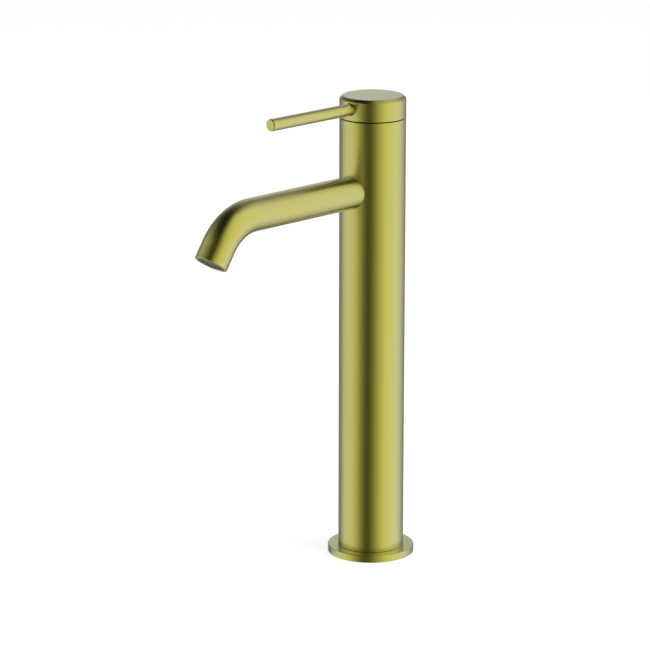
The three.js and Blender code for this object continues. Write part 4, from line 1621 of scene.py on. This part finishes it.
@dataclass
class Handle:
    """The cap and the pin lever that turn and lift, with what holds them on the spindle."""

    rim_gap: float = 0.7 * MM  # between the column and the cap
    rim_edge: float = 0.15 * MM
    chamfer_width: float = 2.25 * MM
    chamfer_height: float = 1.95 * MM
    chamfer_edge: float = 0.30 * MM
    hollow_steps: int = 24  # of the hollow's outline
    hub_radius: float = 8.0 * MM
    hub_drop: float = 6.5 * MM  # from the hollow's roof down to the hub's end
    hub_root: float = 2.0 * MM  # how far the hub goes into the cap
    spindle_width: float = 8.0 * MM
    spindle_depth: float = 7.0 * MM
    spindle_heel: float = 3.6 * MM  # from the pivot down to the square's end
    spindle_entry: float = 0.5 * MM  # how far it goes in past the hollow's roof
    spindle_edge: float = 0.5 * MM
    ball_reach: float = 6.8 * MM  # from the pivot down to the ball's middle
    ball_radius: float = 1.7 * MM
    ball_neck: float = 1.3 * MM  # radius
    lever_edge: float = 0.95 * MM
    lever_socket: float = 4.5 * MM  # how far the lever's full width goes into the cap
    seat_edge: float = 0.2 * MM
    sink: float = 0.20 * MM  # the countersink round the lever's hole
    stub_radius: float = 2.5 * MM  # of the lever's thin inner end
    screw_radius: float = 2.5 * MM
    screw_thread: Thread = Thread(depth=0.3 * MM, pitch=0.8 * MM)
    screw_head: float = 0.3 * MM  # plain stretch before the thread
    screw_key: float = 1.45 * MM  # radius of the key's hexagon, to its corners
    screw_key_depth: float = 2.4 * MM
    screw_tip: float = 1.2 * MM  # radius of its flat end
    screw_room: float = 1.0 * MM  # ahead of the screw's tip
    plug_radius: float = 2.7 * MM
    plug_edge: float = 0.3 * MM

    def __post_init__(self) -> None:
        """Takes the sizes that the frame settles."""
        column_top = height_span("column")[1]
        self.radius, self.top = radius_of("handle_cap"), height_span("handle_cap")[1]
        self.rim = column_top + self.rim_gap
        self.hollow = math.hypot(self.radius, column_top - PIVOT - Column.edge) + FIT
        self.hub_low = self.hollow - self.hub_drop
        self.spindle_top = self.hollow + self.spindle_entry
        self.front = pointing_forward(middle("lever_rod").z)
        self.lever_radius = radius_of("lever_rod")
        self.lever_seat = self.radius - self.lever_socket
        self.stub_end, self.lever_tip = forward_span("lever_rod")

    def lever_cutter(self) -> Workpiece:
        """The cutter for the lever's stepped hole, with its countersink.

        Returns:
            The cutter, in place.
        """
        hole, stub = self.lever_radius + CLOSE_FIT, self.stub_radius + FIT
        floor, mouth = self.stub_end - FIT, self.radius - self.sink
        return Workpiece.turned([
            (0, floor), (stub, floor), (stub, self.lever_seat), (hole, self.lever_seat),
            (hole, mouth - self.sink), (hole + self.sink + OVERRUN, mouth + OVERRUN), (0, mouth + OVERRUN),
        ], self.front)

    def screw_cutter(self) -> Workpiece:
        """The cutter for the set screw's hole, from the back of the cap to the spindle.

        Returns:
            The cutter, in place.
        """
        behind = -self.radius - OVERRUN
        plug_hole, plug_end = self.plug_radius + CLOSE_FIT, forward_span("set_screw_plug")[1] + FIT
        screw_hole, tip = self.screw_radius + FIT, forward_span("handle_set_screw")[1] + self.screw_room
        return Workpiece.turned([
            (0, behind), (plug_hole, behind), (plug_hole, plug_end),
            (screw_hole, plug_end), (screw_hole, tip), (0, tip),
        ], self.front, SMALL_TURN)

    def cap(self) -> None:
        """Turns the cap and cuts the holes for the lever, the spindle and the set screw."""
        rim_inner = math.sqrt(self.hollow ** 2 - (self.rim - PIVOT) ** 2)
        chamfer_low = self.top - self.chamfer_height
        outline = dome(self.hollow, 0.0, rim_inner, self.hollow_steps)
        outline += [(self.radius, self.rim), (self.radius, chamfer_low)]
        outline += [(self.radius - self.chamfer_width, self.top), (0, self.top)]
        blank = Workpiece.turned(outline, steps=FINE_TURN)
        outside, rim_high = self.radius - self.rim_edge, self.rim + EDGE
        blank.eased(
            self.rim_edge, segments=4, where=lambda edge: edge.z < rim_high and edge.xy.length > outside,
        )
        blank.eased(self.chamfer_edge, segments=3, where=lambda edge: edge.z > chamfer_low - EDGE)
        hub = Workpiece.turned(rod(self.hub_radius, self.hub_low, self.hollow + self.hub_root), leaning())
        socket = Workpiece.block(
            self.spindle_width + 2 * FIT, self.spindle_depth + 2 * FIT, self.hub_low - OVERRUN,
            self.spindle_top + FIT, leaning(),
        )
        blank.joined(hub).carved(socket, self.lever_cutter(), self.screw_cutter())
        blank.finished("handle_cap", Lay.ROUND)

    def lever(self) -> None:
        """Turns the pin lever."""
        seat = self.lever_seat + FIT
        blank = Workpiece.turned([
            (0, self.stub_end), (self.stub_radius, self.stub_end), (self.stub_radius, seat),
            (self.lever_radius, seat), (self.lever_radius, self.lever_tip), (0, self.lever_tip),
        ], self.front)
        blank.eased(self.lever_edge, segments=5, where=lambda edge: -edge.y > self.lever_tip - EDGE)
        blank.eased(self.seat_edge, where=lambda edge: -edge.y < seat + EDGE)
        blank.finished("lever_rod", Lay.ROUND, self.front)

    def spindle(self) -> None:
        """Mills the square spindle, with its ball below and the pin's hole."""
        heel, reach = -self.spindle_heel, self.spindle_width
        bar = Workpiece.block(self.spindle_width, self.spindle_depth, heel, self.spindle_top, leaning())
        bar.eased(self.spindle_edge)
        neck = Workpiece.turned(rod(self.ball_neck, -self.ball_reach, heel + OVERRUN), leaning(), SMALL_TURN)
        ball = Workpiece.ball(self.ball_radius, leaning() @ standing(z=-self.ball_reach))
        hole = Workpiece.turned(rod(Rotor.pin_radius + FIT, -reach, reach), crosswise(PIVOT), SMALL_TURN)
        bar.joined(neck, ball).carved(hole).finished("spindle", Lay.LENGTHWISE, leaning())

    def set_screw(self) -> None:
        """Turns the set screw and cuts the hexagon for its key."""
        head, tip = forward_span("handle_set_screw")
        cone = tip - self.screw_radius + self.screw_tip
        outline = [(0, head), (self.screw_radius - self.screw_thread.depth, head)]
        outline += self.screw_thread.stretch(self.screw_radius, head + self.screw_head, cone)
        outline += [(self.screw_tip, tip), (0, tip)]
        key_end = head + self.screw_key_depth
        key = Workpiece.prism(HEXAGON, self.screw_key, head - OVERRUN, key_end, self.front)
        blank = Workpiece.turned(outline, self.front, SMALL_TURN).carved(key)
        blank.finished("handle_set_screw", Lay.ROUND, self.front)

    def plug(self) -> None:
        """Turns the small plug that hides the set screw."""
        face, end = forward_span("set_screw_plug")
        blank = Workpiece.turned(rod(self.plug_radius, face, end), self.front, SMALL_TURN)
        blank.eased(self.plug_edge, segments=3, where=lambda edge: -edge.y < face + EDGE)
        blank.finished("set_screw_plug", Lay.ROUND, self.front)

    def build(self) -> None:
        """Makes every piece of the handle."""
        self.cap()
        self.lever()
        self.spindle()
        self.set_screw()
        self.plug()


# ---- Studio ----

ALL_ROUND = 400.0  # half the width of a flag that has no side edges: more than a half turn and any softness


def heading(azimuth: float, elevation: float) -> Vector:
    """The direction from the mixer to a place.

    Args:
        azimuth: how far it lies round from -Y towards +X, in radians.
        elevation: how far it lies above the deck, in radians.

    Returns:
        The direction, as a vector of length 1.
    """
    level = math.cos(elevation)
    return Vector((math.sin(azimuth) * level, -math.cos(azimuth) * level, math.sin(elevation)))


@dataclass(frozen=True)
class Lamp:
    """A large soft lamp, which mirrors don't see.

    Attributes:
        name: what it is called.
        azimuth: where it stands, in degrees to the right of the camera.
        elevation: how high it stands, in degrees.
        power: its power, in watts.
    """

    name: str
    azimuth: float
    elevation: float
    power: float


@dataclass(frozen=True)
class Flag:
    """A dark cloth in the studio, which only mirrors see.

    Attributes:
        azimuth: where its middle stands, in degrees to the right of the camera.
        half_width: half its width, in degrees.
        soft: how soft its edges are, in degrees.
        level: how bright it is.
        low: its lower edge, in degrees above the horizon.
        high: its upper edge.
    """

    azimuth: float
    half_width: float
    soft: float
    level: float
    low: float = -180.0
    high: float = 180.0

    def dimmed(self, recipe: Recipe, where: Socket, front: float, light: Feed) -> Socket:
        """Dims the tent's light where the flag hangs.

        Args:
            recipe: the tent's material in the making.
            where: the output of the direction from the tent's middle.
            front: the azimuth that the flag's own is measured from, in radians.
            light: the light before.

        Returns:
            The light after.
        """
        turned = recipe.node("Mapping")
        turned.inputs["Rotation"].default_value = (0, 0, -front - math.radians(self.azimuth))
        recipe.feed(turned.inputs["Vector"], where)
        x, y, z = recipe.parted(turned.outputs[0])
        aside = recipe.reckon("ABSOLUTE", recipe.reckon("ARCTAN2", x, recipe.reckon("MULTIPLY", y, -1.0)))
        rise = recipe.reckon("ARCSINE", z)
        half = math.radians(self.soft) / 2
        within, below, above = (
            recipe.spread(angle, before, after, edge - half, edge + half, Slope.SOFT)
            for angle, edge, before, after in (
                (aside, math.radians(self.half_width), 1.0, 0.0),
                (rise, math.radians(self.high), 1.0, 0.0),
                (rise, math.radians(self.low), 0.0, 1.0),
            )
        )
        inside = recipe.reckon("MULTIPLY", recipe.reckon("MULTIPLY", within, below), above)
        return recipe.blend(inside, light, self.level, Blend.NUMBERS)


@dataclass
class Studio:
    """A plain pale floor, soft light all round, a tent with dark flags, and the camera."""

    azimuth: float = math.radians(44.46)
    elevation: float = math.radians(14.84)
    distance: float = 2.2183
    aim: tuple[float, float, float] = (-0.0297, -0.02915, 0.16113)  # the point that the camera faces
    lens: float = 179.97
    sensor: float = 36.0
    shift: float = 0.022  # of the view to the side, as a share of its width
    nearest: float = 0.05
    farthest: float = 50.0
    plain_level: float = 0.62  # how bright the light all round is
    lamps: tuple[Lamp, ...] = (Lamp("key", 70, 48, 9.0), Lamp("fill", -95, 30, 4.5))
    lamp_size: float = 1.2
    lamp_distance: float = 1.6
    lamp_aim: float = 0.15  # height above the deck
    floor_reach: float = 6.0
    floor_drop: float = 0.05 * MM  # below the deck's face
    floor_grey: float = 0.80
    floor_roughness: float = 0.9
    floor_glow: float = 0.47  # what the camera sees on top of the light that falls on it
    tent_radius: float = 6.0
    tent_cuts: int = 4
    flags: tuple[Flag, ...] = (
        Flag(191, 71, 18, 0.19),
        Flag(162, 20, 30, 0.25, low=22, high=55),
        Flag(166, 54, 30, 0.07, high=-28),
        Flag(121, 14, 46, 0.66),
        Flag(125, 26, 40, 0.50, low=60),
        Flag(-98, 24, 49, 0.83),
        Flag(-14, 33.4, 70, 0.065),
        Flag(-80, 84, 59, 0.0, low=36),
        Flag(0, ALL_ROUND, 55, 0.03, low=79),
        Flag(183, 5, 50, 0.96, high=40),
    )

    @staticmethod
    def _facing(name: str, data: bpy.types.ID, aim: Vector, way: Vector, distance: float) -> bpy.types.Object:
        """Sets up a camera or a lamp that faces a point.

        Args:
            name: its name.
            data: the camera's or the lamp's data.
            aim: the point.
            way: the direction from the point to it.
            distance: how far off it stands.

        Returns:
            The object, in the scene.
        """
        made = bpy.data.objects.new(name, data)
        made.location = aim + way * distance
        made.rotation_mode = "QUATERNION"
        made.rotation_quaternion = (-way).to_track_quat("-Z", "Y")
        bpy.context.scene.collection.objects.link(made)
        return made

    def set_camera(self) -> None:
        """Sets the camera up."""
        data = bpy.data.cameras.new("camera")
        data.lens = self.lens
        data.sensor_width = self.sensor
        data.shift_x = self.shift
        data.clip_start, data.clip_end = self.nearest, self.farthest
        way = heading(self.azimuth, self.elevation)
        bpy.context.scene.camera = self._facing("camera", data, Vector(self.aim), way, self.distance)

    def light_all_round(self) -> None:
        """Lights the scene evenly, on a background that the camera and mirrors see as white."""
        world = bpy.data.worlds.new("studio")
        bpy.context.scene.world = world
        world.use_nodes = True
        sky = Nodes(world.node_tree)
        sky.tree.nodes.clear()
        path = sky.node("LightPath")
        seen = path.outputs["Is Camera Ray"]
        for ray in ("Is Glossy Ray", "Is Transmission Ray"):
            seen = sky.reckon("MAXIMUM", seen, path.outputs[ray])
        plain, white = sky.node("Background"), sky.node("Background")
        plain.inputs["Strength"].default_value = self.plain_level
        for shade in (plain, white):
            shade.inputs["Color"].default_value = WHITE
        both = sky.layer(seen, plain.outputs[0], white.outputs[0])
        sky.feed(sky.node("OutputWorld").inputs["Surface"], both)

    def hang_lamps(self) -> None:
        """Hangs the lamps."""
        for lamp in self.lamps:
            data = bpy.data.lights.new(lamp.name, "AREA")
            data.shape = "DISK"
            data.size = self.lamp_size
            data.energy = lamp.power
            way = heading(self.azimuth + math.radians(lamp.azimuth), math.radians(lamp.elevation))
            hung = self._facing(lamp.name, data, Vector((0, 0, self.lamp_aim)), way, self.lamp_distance)
            hung.visible_glossy = False

    def lay_floor(self) -> None:
        """Lays a pale floor that keeps the object's shadow."""
        made = bmesh.new()
        bmesh.ops.create_grid(made, x_segments=1, y_segments=1, size=self.floor_reach)
        floor = Workpiece(made).as_object("floor")
        floor.location.z = -self.floor_drop
        recipe = Recipe("pale_floor")
        seen = recipe.node("LightPath").outputs["Is Camera Ray"]
        for name, value in (
            ("Base Color", (self.floor_grey, self.floor_grey, self.floor_grey, 1.0)),
            ("Roughness", self.floor_roughness), ("Specular IOR Level", 0.0), ("Emission Color", WHITE),
            ("Emission Strength", recipe.reckon("MULTIPLY", seen, self.floor_glow)),
        ):
            recipe.feed(recipe.shader.inputs[name], value)
        floor.data.materials.append(recipe.material)
        floor.visible_glossy = False

    def hang_tent(self) -> None:
        """Hangs a tent round the studio that only mirrors see: white, with the dark flags in it."""
        made = bmesh.new()
        bmesh.ops.create_icosphere(made, subdivisions=self.tent_cuts, radius=self.tent_radius)
        tent = Workpiece(made).as_object("tent")
        recipe = Recipe("tent")
        recipe.tree.nodes.remove(recipe.shader)
        where = recipe.node("VectorMath", operation="NORMALIZE")
        recipe.feed(where.inputs[0], recipe.node("TexCoord").outputs["Object"])
        light = 1.0
        for flag in self.flags:
            light = flag.dimmed(recipe, where.outputs[0], self.azimuth, light)
        glow = recipe.node("Emission")
        recipe.feed(glow.inputs["Strength"], light)
        recipe.show(glow.outputs[0])
        tent.data.materials.append(recipe.material)
        for kind in ("camera", "diffuse", "transmission", "volume_scatter", "shadow"):
            setattr(tent, f"visible_{kind}", False)

    def build(self) -> None:
        """Sets the whole studio up."""
        self.set_camera()
        self.light_all_round()
        self.hang_lamps()
        self.lay_floor()
        self.hang_tent()
        bpy.context.scene.view_settings.view_transform = "Standard"


def main() -> None:
    """Builds the studio and every piece, and logs how many faces each piece has."""
    logging.basicConfig(level=logging.INFO, format="%(message)s")
    Studio().build()
    spout = Spout()
    for assembly in (
        Column(), Foot(), Risers(), Valve(), spout, Aerator(spout.outlet()), Cartridge(), Rotor(), Handle(),
    ):
        assembly.build()


if __name__ == "__main__":
    main()
